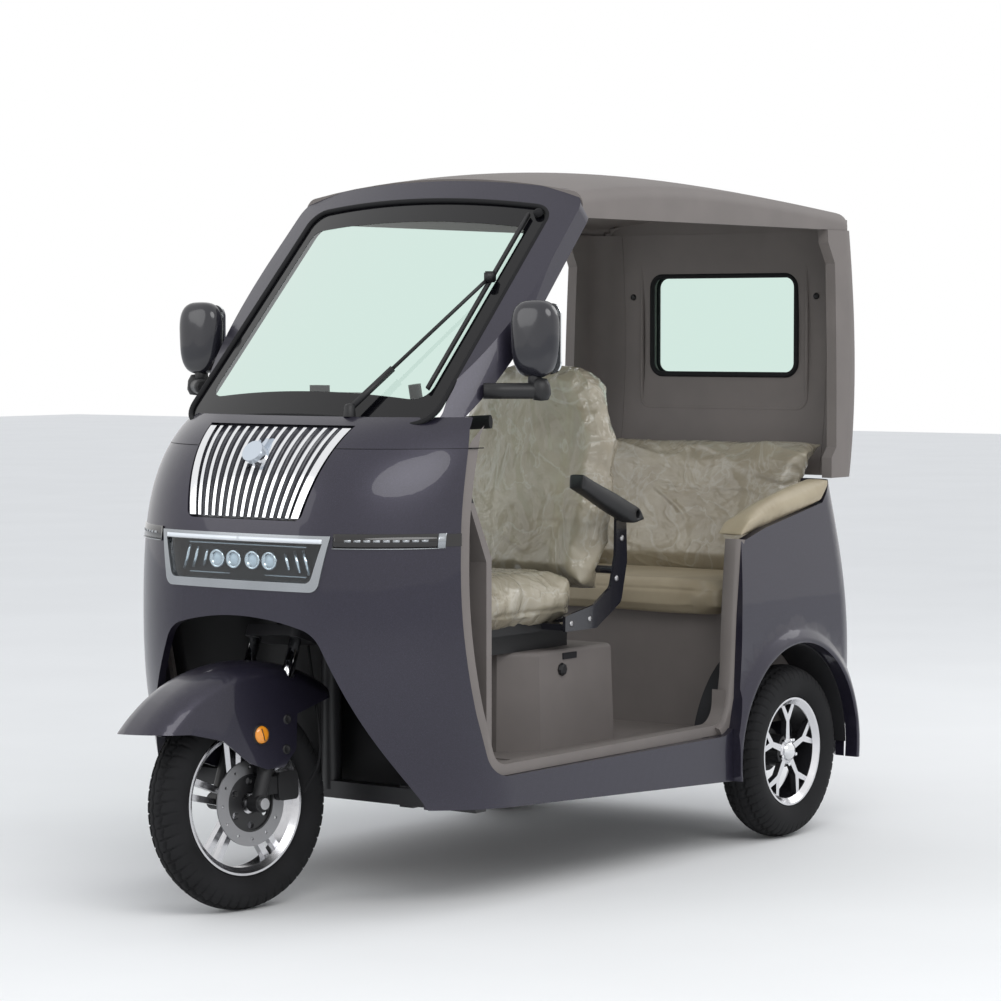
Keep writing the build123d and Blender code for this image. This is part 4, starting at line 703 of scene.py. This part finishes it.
def windscreen():
    """Border printed on the glass, its seal, and a rubber stop at the upper left."""
    edge = rounded_loop(GLASS_LOW, GLASS_HIGH, GLASS_HALF_LOW, GLASS_HALF_HIGH, 0.074, 0.044, 0.02)
    clear = rounded_loop(GLASS_LOW + BORDER_LOW, GLASS_HIGH - BORDER_HIGH, GLASS_HALF_LOW - BORDER_SIDE_LOW,
                         GLASS_HALF_HIGH - BORDER_SIDE_HIGH, 0.045, 0.022, 0.004)
    middle = (GLASS_LOW + GLASS_HIGH) / 2
    rows = 4
    points = []
    for ax, ay in edge:
        aim = atan2(ay - middle, ax)
        bx, by = min(clear, key=lambda p: abs(atan2(p[1] - middle, p[0]) - aim))
        for i in range(rows + 1):
            share = i / rows
            points.append(on_screen(ax + (bx - ax) * share, ay + (by - ay) * share, 0.0006))
    border = (points, grid_faces(len(edge), rows + 1, wrap_rows=True))
    piece("screen_border", [border], "gloss_black", material=FRIT)
    seal = [on_screen(across, climb, 0.0035) for across, climb in edge]
    piece("screen_seal", [tube_parts(seal, 0.0062, closed=True)], "rubber")
    knob = [(0.0, 0.014), (0.007, 0.013), (0.011, 0.009), (0.012, 0.0)]
    piece("screen_stop", [turned_parts(knob, on_screen(0.338, 0.700, 0.004), OUT_SLOPE)], "rubber")


def wiper():
    """Jointed arm with its pivot cap, and a blade with a holder and a rubber lip."""
    foot = Vector((station(-0.194), 0.170, 1.1253))
    elbow = foot + Vector((0, 0, 0.017))
    tip = on_screen(0.322, 0.470, 0.020)
    knee = elbow.lerp(tip, 0.30)
    parts = [turned_parts([(0.0, 0.030), (0.008, 0.029), (0.0125, 0.024), (0.0145, 0.0)], foot, (0, 0, 1)),
             tube_parts([elbow, knee], 0.0085, sides=8),
             tube_parts([knee, elbow.lerp(tip, 0.9), tip], 0.0048, sides=8),
             box_parts(tip, (0.030, 0.018, 0.026))]
    low_end, length = 0.118, 0.572
    shares = [i / 12 for i in range(13)]
    for lift, radius, sides in ((0.012, 0.0052, 8), (0.006, 0.0026, 6)):
        line = [on_screen(0.322 - 0.004 * share, low_end + length * share, lift) for share in shares]
        parts.append(tube_parts(line, radius, sides=sides))
    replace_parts(piece("wiper_arm", parts, "black"), "wiper")


# Nose: seam line, light bar, lamp modules, strips beside the lamp

def nose_strip(name, low, high, start, end, proud, slot, material=None, steps=40, back=0.004):
    """Bands on both sides of the nose, between two heights and two lengths round from its middle."""
    edge = 0.001
    section = ((low, -back), (low + edge, proud), (high - edge, proud), (high, -back))
    last = steps * 4
    parts = []
    for sign in (1, -1):
        points = []
        for i in range(steps + 1):
            length = start + (end - start) * i / steps
            for height, lift in section:
                place = along(nose_path(height, lift), length)
                points.append(Vector((place.x, sign * place.y, place.z)))
        faces = grid_faces(steps + 1, 4, flip=sign > 0)
        faces += [(0, 1, 2, 3), (last + 3, last + 2, last + 1, last)]
        parts.append((points, faces))
    piece(name, parts, slot, material=material)


def nose_details():
    """Strips on the nose's surface, and the reflectors, fins and eyes inside the headlamp."""
    nose_strip("belt_seam", 1.0543, 1.0567, 0.21, 0.56, 0.0004, "rubber", back=0.002)
    nose_strip("light_bar", 0.8445, 0.8555, 0.0, 0.232, 0.0046, "lamp", LAMP_WHITE)
    nose_strip("turn_lens", 0.8345, 0.8680, 0.258, 0.502, 0.0026, "lamp_dark")
    nose_strip("turn_trim", 0.8330, 0.8362, 0.258, 0.502, 0.0040, "chrome", SILVER)
    for i in range(9):
        start = 0.285 + 0.022 * i
        nose_strip("turn_light_%d" % i, 0.8485, 0.8555, start, start + 0.015, 0.0031, "lamp", SILVER, 2)
    nose_strip("turn_cap", 0.8335, 0.8685, 0.500, 0.518, 0.0036, "chrome", SILVER, 6)
    ring = [(0.013, 0.004), (0.016, 0.010), (0.0205, 0.011), (0.022, 0.006), (0.022, -0.012)]
    bulb = [(0.0, 0.010), (0.007, 0.009), (0.012, 0.006), (0.0145, 0.001)]
    lamp_z = 0.800
    rings, eyes = [], []
    for across in (-0.078, -0.028, 0.028, 0.078):
        place = Vector((station(-0.024), across, lamp_z))
        rings.append(turned_parts(ring, place, (1, 0, 0)))
        eyes.append(turned_parts(bulb, place, (1, 0, 0)))
    for sign in (1, -1):
        lean = Matrix.Rotation(sign * radians(18), 3, "X")
        for across, tall in ((0.122, 0.040), (0.152, 0.052), (0.178, 0.060)):
            rings.append(box_parts((station(-0.030), sign * across, lamp_z), (0.012, 0.006, tall), lean))
    piece("lamp_rings", rings, "chrome")
    piece("lamp_eyes", eyes, "lamp", material=LAMP_WHITE)
    fins = [box_parts((station(-0.036), 0.0, height), (0.010, 0.350, 0.003)) for height in (0.766, 0.834)]
    piece("lamp_fins", fins, "chrome", material=SILVER, smooth=False)


# Fender: amber reflectors and bolt heads

FENDER_FACE_Y = 0.0945


def fender_details():
    lens = [(0.0, 0.0095), (0.012, 0.0085), (0.0190, 0.0055), (0.0205, 0.0)]
    ring = [(0.0200, 0.0), (0.0210, 0.0045), (0.0230, 0.0040), (0.0240, -0.001)]
    bolt = [(0.0, 0.002), (0.006, 0.002), (0.0085, 0.0035), (0.0105, 0.003), (0.0115, -0.001)]
    origin = park((0, 0, 0))
    slit = park((0.004, 0, 0.014)) - origin
    lamps, rings, heads = [], [], []
    for sign in (1, -1):
        out = (park((0, sign, 0)) - origin).normalized()
        place = park((station(0.0), sign * FENDER_FACE_Y, 0.402))
        lamps.append(turned_parts(lens, place, out))
        rings.append(turned_parts(ring, place, out))
        bar = [place + out * 0.009 - slit, place + out * 0.0098, place + out * 0.009 + slit]
        rings.append(tube_parts(bar, 0.0012, sides=6))
        for distance, height in ((-0.080, 0.430), (-0.074, 0.362)):
            heads.append(turned_parts(bolt, park((station(distance), sign * FENDER_FACE_Y, height)), out, 24))
    piece("fender_reflectors", lamps, "lamp_red", "fork", AMBER)
    piece("reflector_rings", rings, "black", "fork")
    piece("fender_bolts", heads, "black", "fork")


# Rear wall: moulded frame, screws, window rubber

WALL_FACE_X = station(-2.062)


def loop_tube(name, face_x, outline, radius, slot):
    """A bead along a panel's outline that stands square to the vehicle."""
    path = [Vector((face_x, across, climb)) for across, climb in rounded_loop(*outline, 0.02)]
    piece(name, [tube_parts(path, radius, closed=True)], slot)


def rear_wall_details():
    window = (1.199, 1.474, 0.236, 0.236, 0.034, 0.034)
    loop_tube("window_rubber_inner", WALL_FACE_X - 0.002, window, 0.0075, "rubber")
    loop_tube("window_rubber_outer", station(-2.0925), window, 0.0075, "rubber")
    loop_tube("wall_moulding", WALL_FACE_X - 0.001, (1.105, 1.535, 0.270, 0.270, 0.03, 0.03), 0.006, "trim")
    screws = [screw_parts((WALL_FACE_X + 0.001, across, height), (1, 0, 0), 1.5)
              for across in (0.300, -0.300) for height in (1.415, 1.053)]
    piece("wall_screws", screws, "black")


# Seat box: lock and grip recess; bolts of the armrest brackets

def seat_details():
    box_side, bracket_side = 0.2145, 0.2762
    barrel = [(0.0, 0.010), (0.009, 0.010), (0.0145, 0.008), (0.0165, 0.004), (0.0165, -0.002)]
    lock = Vector((station(-0.975), box_side, 0.480))
    piece("box_lock", [turned_parts(barrel, lock, (0, 1, 0), 8)], "black", smooth=False)
    grip = box_parts((station(-1.010), box_side + 0.0004, 0.512), (0.060, 0.004, 0.016))
    piece("box_grip", [grip], "dark", smooth=False)
    bolts = []
    for sign in (1, -1):
        for distance, height in ((-0.930, 0.600), (-1.010, 0.606), (-1.128, 0.700), (-1.152, 0.800)):
            place = (station(distance), sign * bracket_side, height)
            bolts.append(screw_parts(place, (0, sign, 0), 1.3))
    piece("bracket_bolts", bolts, "steel")


# Rounded pieces that take the place of plainer solids

def smooth_copy(name, node, body, crease):
    """The same painted solid, with shading that runs on over its small facets."""
    made = nodes[node].data.copy()
    work = bmesh.new()
    work.from_mesh(made)
    bmesh.ops.remove_doubles(work, verts=work.verts, dist=0.00002)
    work.to_mesh(made)
    work.free()
    shape = piece(name, made, "paint", body)
    made.set_sharp_from_angle(angle=radians(crease))
    even = shape.modifiers.new("even", "WEIGHTED_NORMAL")
    even.keep_sharp = True
    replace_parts(shape, node)


def smooth_panels():
    smooth_copy("fender", "front_fender", "fork", 38.0)
    for side_name in ("left", "right"):
        smooth_copy("quarter_" + side_name, "quarter_panel_" + side_name, "body", 30.0)


# Columns: station, height of the crown, height of the edge, half width
ROOF_SECTIONS = (
    (-0.760, 1.692, 1.648, 0.426),
    (-1.130, 1.722, 1.672, 0.432),
    (-1.600, 1.708, 1.660, 0.432),
    (-2.088, 1.660, 1.625, 0.426),
)
ROOF_FRONT_X, ROOF_REAR_X = station(ROOF_SECTIONS[0][0]), station(ROOF_SECTIONS[-1][0])
ROOF_EDGE = 0.024
ROOF_FOOT_Z = 1.590
ROOF_CORNER_R = 0.110
ROOF_SHOULDER_R = 0.028
ROOF_SKIRT = 0.016


def roof_values(x):
    """Crown, edge and half width of the roof at a row X."""
    return curve_through(ROOF_SECTIONS, x - station(0.0))


def roof_loop(inset):
    """Plan outline of the roof, drawn in, with its rear corners rounded."""
    front, rear = ROOF_FRONT_X - min(inset, 0.002), ROOF_REAR_X + inset
    rounding = max(0.02, ROOF_CORNER_R - inset)
    half = []
    for i in range(25):
        x = front + (rear + rounding - front) * i / 24
        half.append((x, roof_values(x)[2] - inset))
    tail = half[-1][1]
    for i in range(1, 13):
        angle = pi / 2 * i / 12
        half.append((rear + rounding - rounding * sin(angle), tail - rounding + rounding * cos(angle)))
    half += [(rear, (tail - rounding) * (1 - i / 6)) for i in range(1, 7)]
    half = [(front, half[0][1] * i / 6) for i in range(6)] + half
    return half + [(x, -y) for x, y in half[-2:0:-1]]


def roof_height(x, y, down=0.0):
    """Height of the roof's upper face, lowered by down."""
    crown, edge, half = roof_values(x)
    return crown - (crown - edge) * (y / half) ** 2 - down


def roof():
    """Crowned shell with rounded shoulders and rear corners, and a skirt on its sides."""
    rows = [[Vector((x, y, ROOF_FOOT_Z)) for x, y in roof_loop(inset)] for inset in (ROOF_SKIRT, 0.0)]
    for i in range(7):
        angle = pi / 2 * i / 6
        inset = ROOF_SHOULDER_R * (1 - cos(angle))
        drop = ROOF_SHOULDER_R * (1 - sin(angle))
        rows.append([Vector((x, y, roof_height(x, y, drop))) for x, y in roof_loop(inset)])
    rim = roof_loop(ROOF_SHOULDER_R)
    middle = (ROOF_FRONT_X + ROOF_REAR_X) / 2
    for i in range(1, 13):
        share = 1 - i / 13
        flat = [(middle + (x - middle) * share, y * share) for x, y in rim]
        rows.append([Vector((x, y, roof_height(x, y))) for x, y in flat])
    top = len(rows) - 1
    for row in rows[-1:1:-1]:
        rows.append([Vector((p.x + (ROOF_SKIRT if p.x < station(-2.05) else 0), p.y * 0.965, p.z - ROOF_EDGE))
                     for p in row])
    count = len(rim)
    faces = grid_faces(len(rows), count, True, True)
    del faces[top * count:(top + 1) * count]
    faces.append(tuple(range(top * count, (top + 1) * count)))
    faces.append(tuple(range((top + 1) * count, (top + 2) * count))[::-1])
    shape = piece("roof_shell", [([p for row in rows for p in row], faces)], "trim")
    shape.data.set_sharp_from_angle(angle=radians(50))
    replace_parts(shape, "roof")


def rear_header():
    """Closes the rear wall up to the roof, between the corner pillars."""
    half, steps = 0.385, 24
    foot_z, below_roof = 1.584, 0.012
    points, faces = [], []
    for i in range(steps + 1):
        across = -half + 2 * half * i / steps
        for x in (station(-2.050), station(-2.080)):
            points += [(x, across, foot_z), (x, across, roof_height(x, across) - below_roof)]
    for i in range(steps):
        a, b = i * 4, (i + 1) * 4
        faces += [(a, b, b + 1, a + 1), (a + 2, a + 3, b + 3, b + 2)]
        faces += [(a, a + 2, b + 2, b), (a + 1, b + 1, b + 3, a + 3)]
    last = steps * 4
    faces += [(0, 1, 3, 2), (last, last + 2, last + 3, last + 1)]
    piece("rear_header", [(points, faces)], "trim", smooth=False)


def door_edge_trims():
    """Moulded edge in front of each rear side panel, from the floor up to the padded ledge."""
    line = ((-1.290, 0.303), (-1.322, 0.322), (-1.347, 0.365), (-1.362, 0.450), (-1.368, 0.560),
            (-1.376, 0.680), (-1.388, 0.792))
    section = ((0.019, 0.446), (0.022, 0.452), (0.022, 0.478), (0.018, 0.4865), (-0.004, 0.4885),
               (-0.012, 0.4865), (-0.012, 0.446))
    parts = []
    for sign in (1, -1):
        points = []
        for i, place in enumerate(line):
            run = (Vector(line[min(i + 1, len(line) - 1)]) - Vector(line[max(i - 1, 0)])).normalized()
            for ahead, across in section:
                spot = Vector(place) + Vector((run.y, -run.x)) * ahead
                points.append(Vector((station(spot.x), sign * across, spot.y)))
        faces = grid_faces(len(line), len(section), wrap_columns=True)
        if sign < 0:
            faces = [face[::-1] for face in faces]
        faces += [face[::-1] for face in end_faces(len(line), len(section))]
        parts.append((points, faces))
    piece("door_edges", parts, "trim").data.set_sharp_from_angle(angle=radians(60))


MIRROR_CENTRE = (station(-0.452), 0.508, 1.303)


def power(value, exponent):
    """A power that keeps the value's sign."""
    return (1 if value >= 0 else -1) * abs(value) ** exponent


def mirror_shell(centre):
    """Rounded shell, wider at the top, with a flat back round the glass."""
    rings, turns = 20, 40
    points = []
    for i in range(rings + 1):
        polar = pi * i / rings
        reach = power(sin(polar), 0.62)
        ahead = max(power(cos(polar), 0.72), -0.86)
        for j in range(turns):
            angle = 2 * pi * j / turns
            up = power(sin(angle), 0.62) * reach
            side = power(cos(angle), 0.66) * reach * (1 + 0.07 * up)
            points.append(centre + Vector((0.031 * ahead, 0.0598 * side, 0.089 * up)))
    return points, grid_faces(rings + 1, turns, wrap_columns=True)


def mirrors():
    """Shells, with a knuckle below each and one where its arm ends."""
    upper = [(0.0, 0.012), (0.012, 0.010), (0.0165, 0.002), (0.0175, -0.014), (0.013, -0.022), (0.0, -0.024)]
    lower = [(0.0, 0.030), (0.014, 0.028), (0.0215, 0.014), (0.0235, -0.008), (0.017, -0.021), (0.0, -0.023)]
    shells, knuckles = [], []
    for sign in (1, -1):
        centre = Vector((MIRROR_CENTRE[0], sign * MIRROR_CENTRE[1], MIRROR_CENTRE[2]))
        root = Vector((station(-0.365), sign * 0.425, 1.184))
        tip = Vector((station(-0.452), sign * 0.524, 1.184))
        shells.append(mirror_shell(centre))
        knuckles += [turned_parts(upper, centre + Vector((0, 0, -0.088)), (0, 0, 1), 24),
                     tube_parts([root, root.lerp(tip, 0.35), root.lerp(tip, 0.8), tip], 0.0185, sides=16),
                     turned_parts(lower, tip, (0, 0, 1), 24)]
    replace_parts(piece("mirror_covers", shells, "gloss_black"), "mirror_shells")
    piece("mirror_knuckles", knuckles, "black")


# Fork: bright stanchions, hose, and the wheel house walls behind it

def steer_place(height, ahead, side):
    """Place at a height on the steering axis, moved ahead square to it and sideways, as parked."""
    climb = (height - STEER_PIVOT.z) / STEER_AXIS.z
    return park(STEER_PIVOT + STEER_AXIS * climb + STEER_AHEAD * ahead + Vector((0, side, 0)))


def bent_line(bends, steps=8):
    """A smooth line through a few bends."""
    line = []
    for i, (a, b) in enumerate(zip(bends, bends[1:])):
        before, after = bends[max(0, i - 1)], bends[min(len(bends) - 1, i + 2)]
        m, n = (b - before) * 0.5, (after - a) * 0.5
        for j in range(steps):
            t = j / steps
            line.append(a * (2 * t ** 3 - 3 * t ** 2 + 1) + m * (t ** 3 - 2 * t ** 2 + t)
                        + b * (3 * t ** 2 - 2 * t ** 3) + n * (t ** 3 - t ** 2))
    return line + [bends[-1]]


def fork_details():
    """Bright stanchions with dust seals, and the brake hose."""
    seal = [(0.0139, 0.016), (0.0170, 0.014), (0.0185, 0.004), (0.0185, -0.010), (0.0170, -0.012)]
    bright, seals = [], []
    for sign in (1, -1):
        low, high = (steer_place(height, 0.033, sign * 0.072) for height in (0.432, 0.598))
        bright.append(tube_parts([low, high], 0.0139, sides=24))
        seals.append(turned_parts(seal, low, (high - low).normalized(), 24))
    piece("stanchion_sleeves", bright, "chrome", "fork")
    piece("dust_seals", seals, "rubber", "fork")
    bends = ((0.29, -0.098, 0.066), (0.36, -0.110, 0.080), (0.43, -0.075, 0.094), (0.52, -0.050, 0.070),
             (0.60, -0.030, 0.045))
    hose = bent_line([steer_place(*bend) for bend in bends])
    piece("brake_hose", [tube_parts(hose, 0.0036)], "rubber", "fork")


def wheel_house_walls():
    """Black inner walls behind the front wheel, from the footwell wall out to the door trim."""
    plan = ((-0.359, 0.0), (-0.359, 0.26), (-0.345, 0.300), (-0.300, 0.360), (-0.262, 0.410), (-0.243, 0.438))
    levels = ((0.240, -0.100), (0.400, -0.052), (0.620, 0.0), (0.830, 0.006))
    footwell = -0.361
    parts = []
    for sign in (1, -1):
        points = [Vector((station(max(footwell, distance + lean)), sign * across, height))
                  for distance, across in plan for height, lean in levels]
        parts.append((points, grid_faces(len(plan), len(levels), flip=sign > 0)))
    shape = piece("wheel_house_liner", parts, "black")
    thick = shape.modifiers.new("thick", "SOLIDIFY")
    thick.thickness = 0.003
    bake(shape)


# Soft pieces

CLOTH_STEPS = 20
CLOTH_PRESSURE = 4.0
SWELL_LIMIT = 0.022


def bench_root():
    """Thickens the bench's back where it bends over the rear panel's edge."""
    outline = ((-1.842, 0.800), (-1.899, 0.800), (-1.899, 0.926), (-1.940, 0.965), (-1.896, 0.965))
    half = 0.370
    points = [(station(distance), across, height) for across in (-half, half) for distance, height in outline]
    faces = [(0, 1, 2, 3, 4), (9, 8, 7, 6, 5)]
    faces += [(i, i + 5, (i + 1) % 5 + 5, (i + 1) % 5) for i in range(5)]
    return joined([(points, faces)])


def soft_copy(name, source, draw_in, voxel):
    """Copies a CAD node's solids into a new mesh, remeshed evenly and a little smaller."""
    made = bpy.data.meshes.new(name)
    work = bmesh.new()
    work.from_mesh(nodes[source].data)
    if name == "bench_back_pad":
        work.from_mesh(bench_root())
    bmesh.ops.remove_doubles(work, verts=work.verts, dist=0.00001)
    work.to_mesh(made)
    work.free()
    shape = bpy.data.objects.new(name, made)
    bpy.context.scene.collection.objects.link(shape)
    remesh = shape.modifiers.new("remesh", "REMESH")
    remesh.mode = "VOXEL"
    remesh.voxel_size = voxel
    bake(shape)
    even_out(shape, 0.5, 6)
    press(shape, lambda place, normal: draw_in)
    return shape


def press(shape, depth_at):
    """Moves each point inwards along its normal. depth_at gives how far at a place."""
    vertices = shape.data.vertices
    normals = [v.normal.copy() for v in vertices]
    places = [v.co.copy() for v in vertices]
    flat = []
    for place, normal in zip(places, normals):
        flat.extend(place - normal * depth_at(place, normal))
    vertices.foreach_set("co", flat)
    shape.data.update()


def bake(shape):
    """Applies all modifiers of an object to its mesh."""
    graph = bpy.context.evaluated_depsgraph_get()
    graph.update()
    made = bpy.data.meshes.new_from_object(shape.evaluated_get(graph))
    shape.modifiers.clear()
    shape.data = made


def inflate(shape):
    """Swells a cushion with cloth under pressure, and limits how far each point moves."""
    before = [v.co.copy() for v in shape.data.vertices]
    cloth = shape.modifiers.new("cloth", "CLOTH")
    cloth.settings.quality = 4
    cloth.settings.use_pressure = True
    cloth.settings.uniform_pressure_force = CLOTH_PRESSURE
    cloth.settings.tension_stiffness = 20
    cloth.settings.compression_stiffness = 20
    cloth.settings.effector_weights.gravity = 0
    cloth.point_cache.frame_start = 1
    cloth.point_cache.frame_end = CLOTH_STEPS
    scene = bpy.context.scene
    for step in range(1, CLOTH_STEPS + 1):
        scene.frame_set(step)
    bake(shape)
    for vertex, start in zip(shape.data.vertices, before):
        move = vertex.co - start
        if move.length > SWELL_LIMIT:
            vertex.co = start + move.normalized() * SWELL_LIMIT
    scene.frame_set(1)


def even_out(shape, factor, times):
    """Smooths a cushion's small ripples."""
    smooth = shape.modifiers.new("smooth", "SMOOTH")
    smooth.factor = factor
    smooth.iterations = times
    bake(shape)


def widen(shape):
    """Fills the driver's back out to its armrest brackets and rounds its top."""
    wider, taller, foot_z = 1.075, 0.025, 0.676
    for vertex in shape.data.vertices:
        vertex.co.y *= wider
        vertex.co.z += (vertex.co.z - foot_z) * taller
    shape.data.update()


def dent(distance, width, depth):
    """Depth of a soft channel at a distance from its middle."""
    return depth * exp(-(distance / width) ** 2)


def creases(place):
    """Height of the wrapping's folds: two sets of sharp ridges."""
    spot = Vector((place.x * 5, place.y * 8 + place.z * 2.5, place.z * 3.5))
    bend = noise.noise(spot * 0.8) * 0.7
    first = 1 - min(1.0, abs(noise.noise(spot + Vector((bend, bend, 0)))) * 9)
    second = 1 - min(1.0, abs(noise.noise(spot * 2.3 + Vector((3.1, bend, 7.7)))) * 6)
    return 0.0034 * first ** 2 + 0.0016 * second ** 2


def cushion_seams(place, normal):
    """Driver's cushion: two channels along it, one across, and a seam round its side."""
    channel_y = 0.155
    cut = 0.0
    if normal.z > 0.4:
        cut = dent(abs(place.y) - channel_y, 0.010, 0.008)
        if abs(place.y) < channel_y:
            cut = max(cut, dent(place.x - station(-0.700), 0.009, 0.006))
    cut = max(cut, dent(place.z - 0.632, 0.004, 0.003))
    return cut - 0.004 * noise.noise(place * 9) - 0.5 * creases(place)


def back_seams(place, normal):
    """Driver's back: side bolsters, with a seam across and a hollow between them."""
    bolster_y = 0.145
    cut = 0.0
    if normal.x > 0.3:
        cut = dent(abs(place.y) - bolster_y, 0.022, 0.007)
        if abs(place.y) < bolster_y:
            cut = max(cut, dent(place.z - 0.84, 0.014, 0.006))
            cut = max(cut, 0.006 * (1 - (place.y / bolster_y) ** 4))
    return cut - 0.004 * noise.noise(place * 8) - creases(place)


def bench_seams(place, normal):
    """Bench: a seam round its side, and one along its top."""
    cut = dent(place.z - 0.646, 0.004, 0.003)
    if normal.z > 0.4:
        cut = max(cut, dent(place.x - station(-1.475), 0.006, 0.003))
    return cut - 0.002 * noise.noise(place * 6)


def wrapped_bench(place, normal):
    """Bench back: its wrapping lies in long folds."""
    return -0.003 * noise.noise(place * 7) - 1.2 * creases(Vector((place.x, place.z * 1.4, place.y * 0.8)))


def plain_seams(place, normal):
    """No seam, only soft unevenness."""
    return -0.003 * noise.noise(place * 7)


# Columns: piece, CAD node, draw in, voxel, seams, finish, slot, body, fill
BLACK, VINYL = MATERIALS["black"], MATERIALS["vinyl"]
CUSHIONS = (
    ("seat_pad", "seat_cushion", 0.010, 0.006, cushion_seams, FILM_VINYL, "vinyl", "body", 0.7),
    ("seat_back_pad", "seat_back", 0.009, 0.006, back_seams, FILM_VINYL, "vinyl", "body", 0.7),
    ("bench_pad", "bench_cushion", 0.007, 0.006, bench_seams, VINYL, "vinyl", "body", 0.8),
    ("bench_back_pad", "bench_back", 0.003, 0.006, wrapped_bench, FILM_VINYL, "vinyl", "body", 0.7),
    ("side_pads", "bolsters", 0.004, 0.005, plain_seams, VINYL, "vinyl", "body", 0.8),
    ("arm_pad_left", "armrest_left", 0.003, 0.005, plain_seams, BLACK, "black", "armrest_left_pad", 0.9),
    ("arm_pad_right", "armrest_right", 0.003, 0.005, plain_seams, BLACK, "black", "armrest_right_pad", 0.9),
)


def cushions():
    for name, source, draw_in, voxel, seams, material, slot, body, fill in CUSHIONS:
        shape = soft_copy(name, source, draw_in, voxel)
        inflate(shape)
        even_out(shape, 0.6, 10)
        if name == "seat_back_pad":
            widen(shape)
        press(shape, seams)
        shape.data.materials.clear()
        shape.data.materials.append(material)
        shape.data.shade_smooth()
        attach(shape, body)
        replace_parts(shape, source)


wheels()
windscreen()
wiper()
nose_details()
fender_details()
rear_wall_details()
seat_details()
smooth_panels()
roof()
rear_header()
door_edge_trims()
mirrors()
fork_details()
wheel_house_walls()
cushions()


# Floor, light and camera

def stage():
    bpy.ops.mesh.primitive_plane_add(size=60.0)
    floor = bpy.context.object
    floor.name = "floor"
    grey = finish("floor", (0.86, 0.86, 0.85), 0.85, spread=0.012, scale=1.2, grain=60.0)
    floor.data.materials.append(grey)


def lamp(name, place, size, energy):
    """An oval lamp that points at the middle of the vehicle."""
    light = bpy.data.lights.new(name, "AREA")
    light.shape = "ELLIPSE"
    light.size, light.size_y = size
    light.energy = energy
    made = bpy.data.objects.new(name, light)
    made.location = place
    made.rotation_euler = (Vector((0.0, 0.0, 0.8)) - Vector(place)).to_track_quat("-Z", "Y").to_euler()
    bpy.context.scene.collection.objects.link(made)


def light():
    """A sky that is white to the camera and in reflections, softer as a light, and three lamps."""
    world = bpy.data.worlds.new("studio")
    bpy.context.scene.world = world
    world.use_nodes = True
    tree = world.node_tree
    soft = tree.nodes["Background"]
    wire(tree, soft, {"Color": (0.92, 0.95, 1.0, 1), "Strength": 0.85})
    white = add_node(tree, "Background", in_Color=(1, 1, 1, 1))
    rays = add_node(tree, "LightPath")
    seen = calc(tree, "MAXIMUM", rays.outputs["Is Camera Ray"], rays.outputs["Is Transmission Ray"])
    seen = calc(tree, "MAXIMUM", seen, rays.outputs["Is Glossy Ray"])
    both = add_node(tree, "MixShader")
    wire(tree, both, {"Fac": seen, 1: soft.outputs[0], 2: white.outputs[0]})
    tree.links.new(both.outputs[0], tree.nodes["World Output"].inputs["Surface"])
    lamp("key", (3.2, 4.2, 5.0), (6.0, 3.0), 150.0)
    lamp("fill", (4.5, -3.0, 3.0), (3.0, 3.0), 30.0)
    lamp("rear", (-4.5, 2.0, 4.0), (3.0, 3.0), 40.0)


CAMERA_PLACE = Vector((6.440, 4.79, 1.326))
CAMERA_YAW = radians(36.17)
CAMERA_PITCH = radians(3.06)


def camera():
    """The photograph's camera."""
    lens = bpy.data.cameras.new("camera")
    lens.lens = 115.55
    lens.sensor_width = 36.0
    made = bpy.data.objects.new("camera", lens)
    made.location = CAMERA_PLACE
    level = cos(CAMERA_PITCH)
    look = Vector((-cos(CAMERA_YAW) * level, -sin(CAMERA_YAW) * level, -sin(CAMERA_PITCH)))
    made.rotation_euler = look.to_track_quat("-Z", "Y").to_euler()
    bpy.context.scene.collection.objects.link(made)
    bpy.context.scene.camera = made


stage()
light()
camera()
bpy.context.scene.view_settings.view_transform = "Standard"
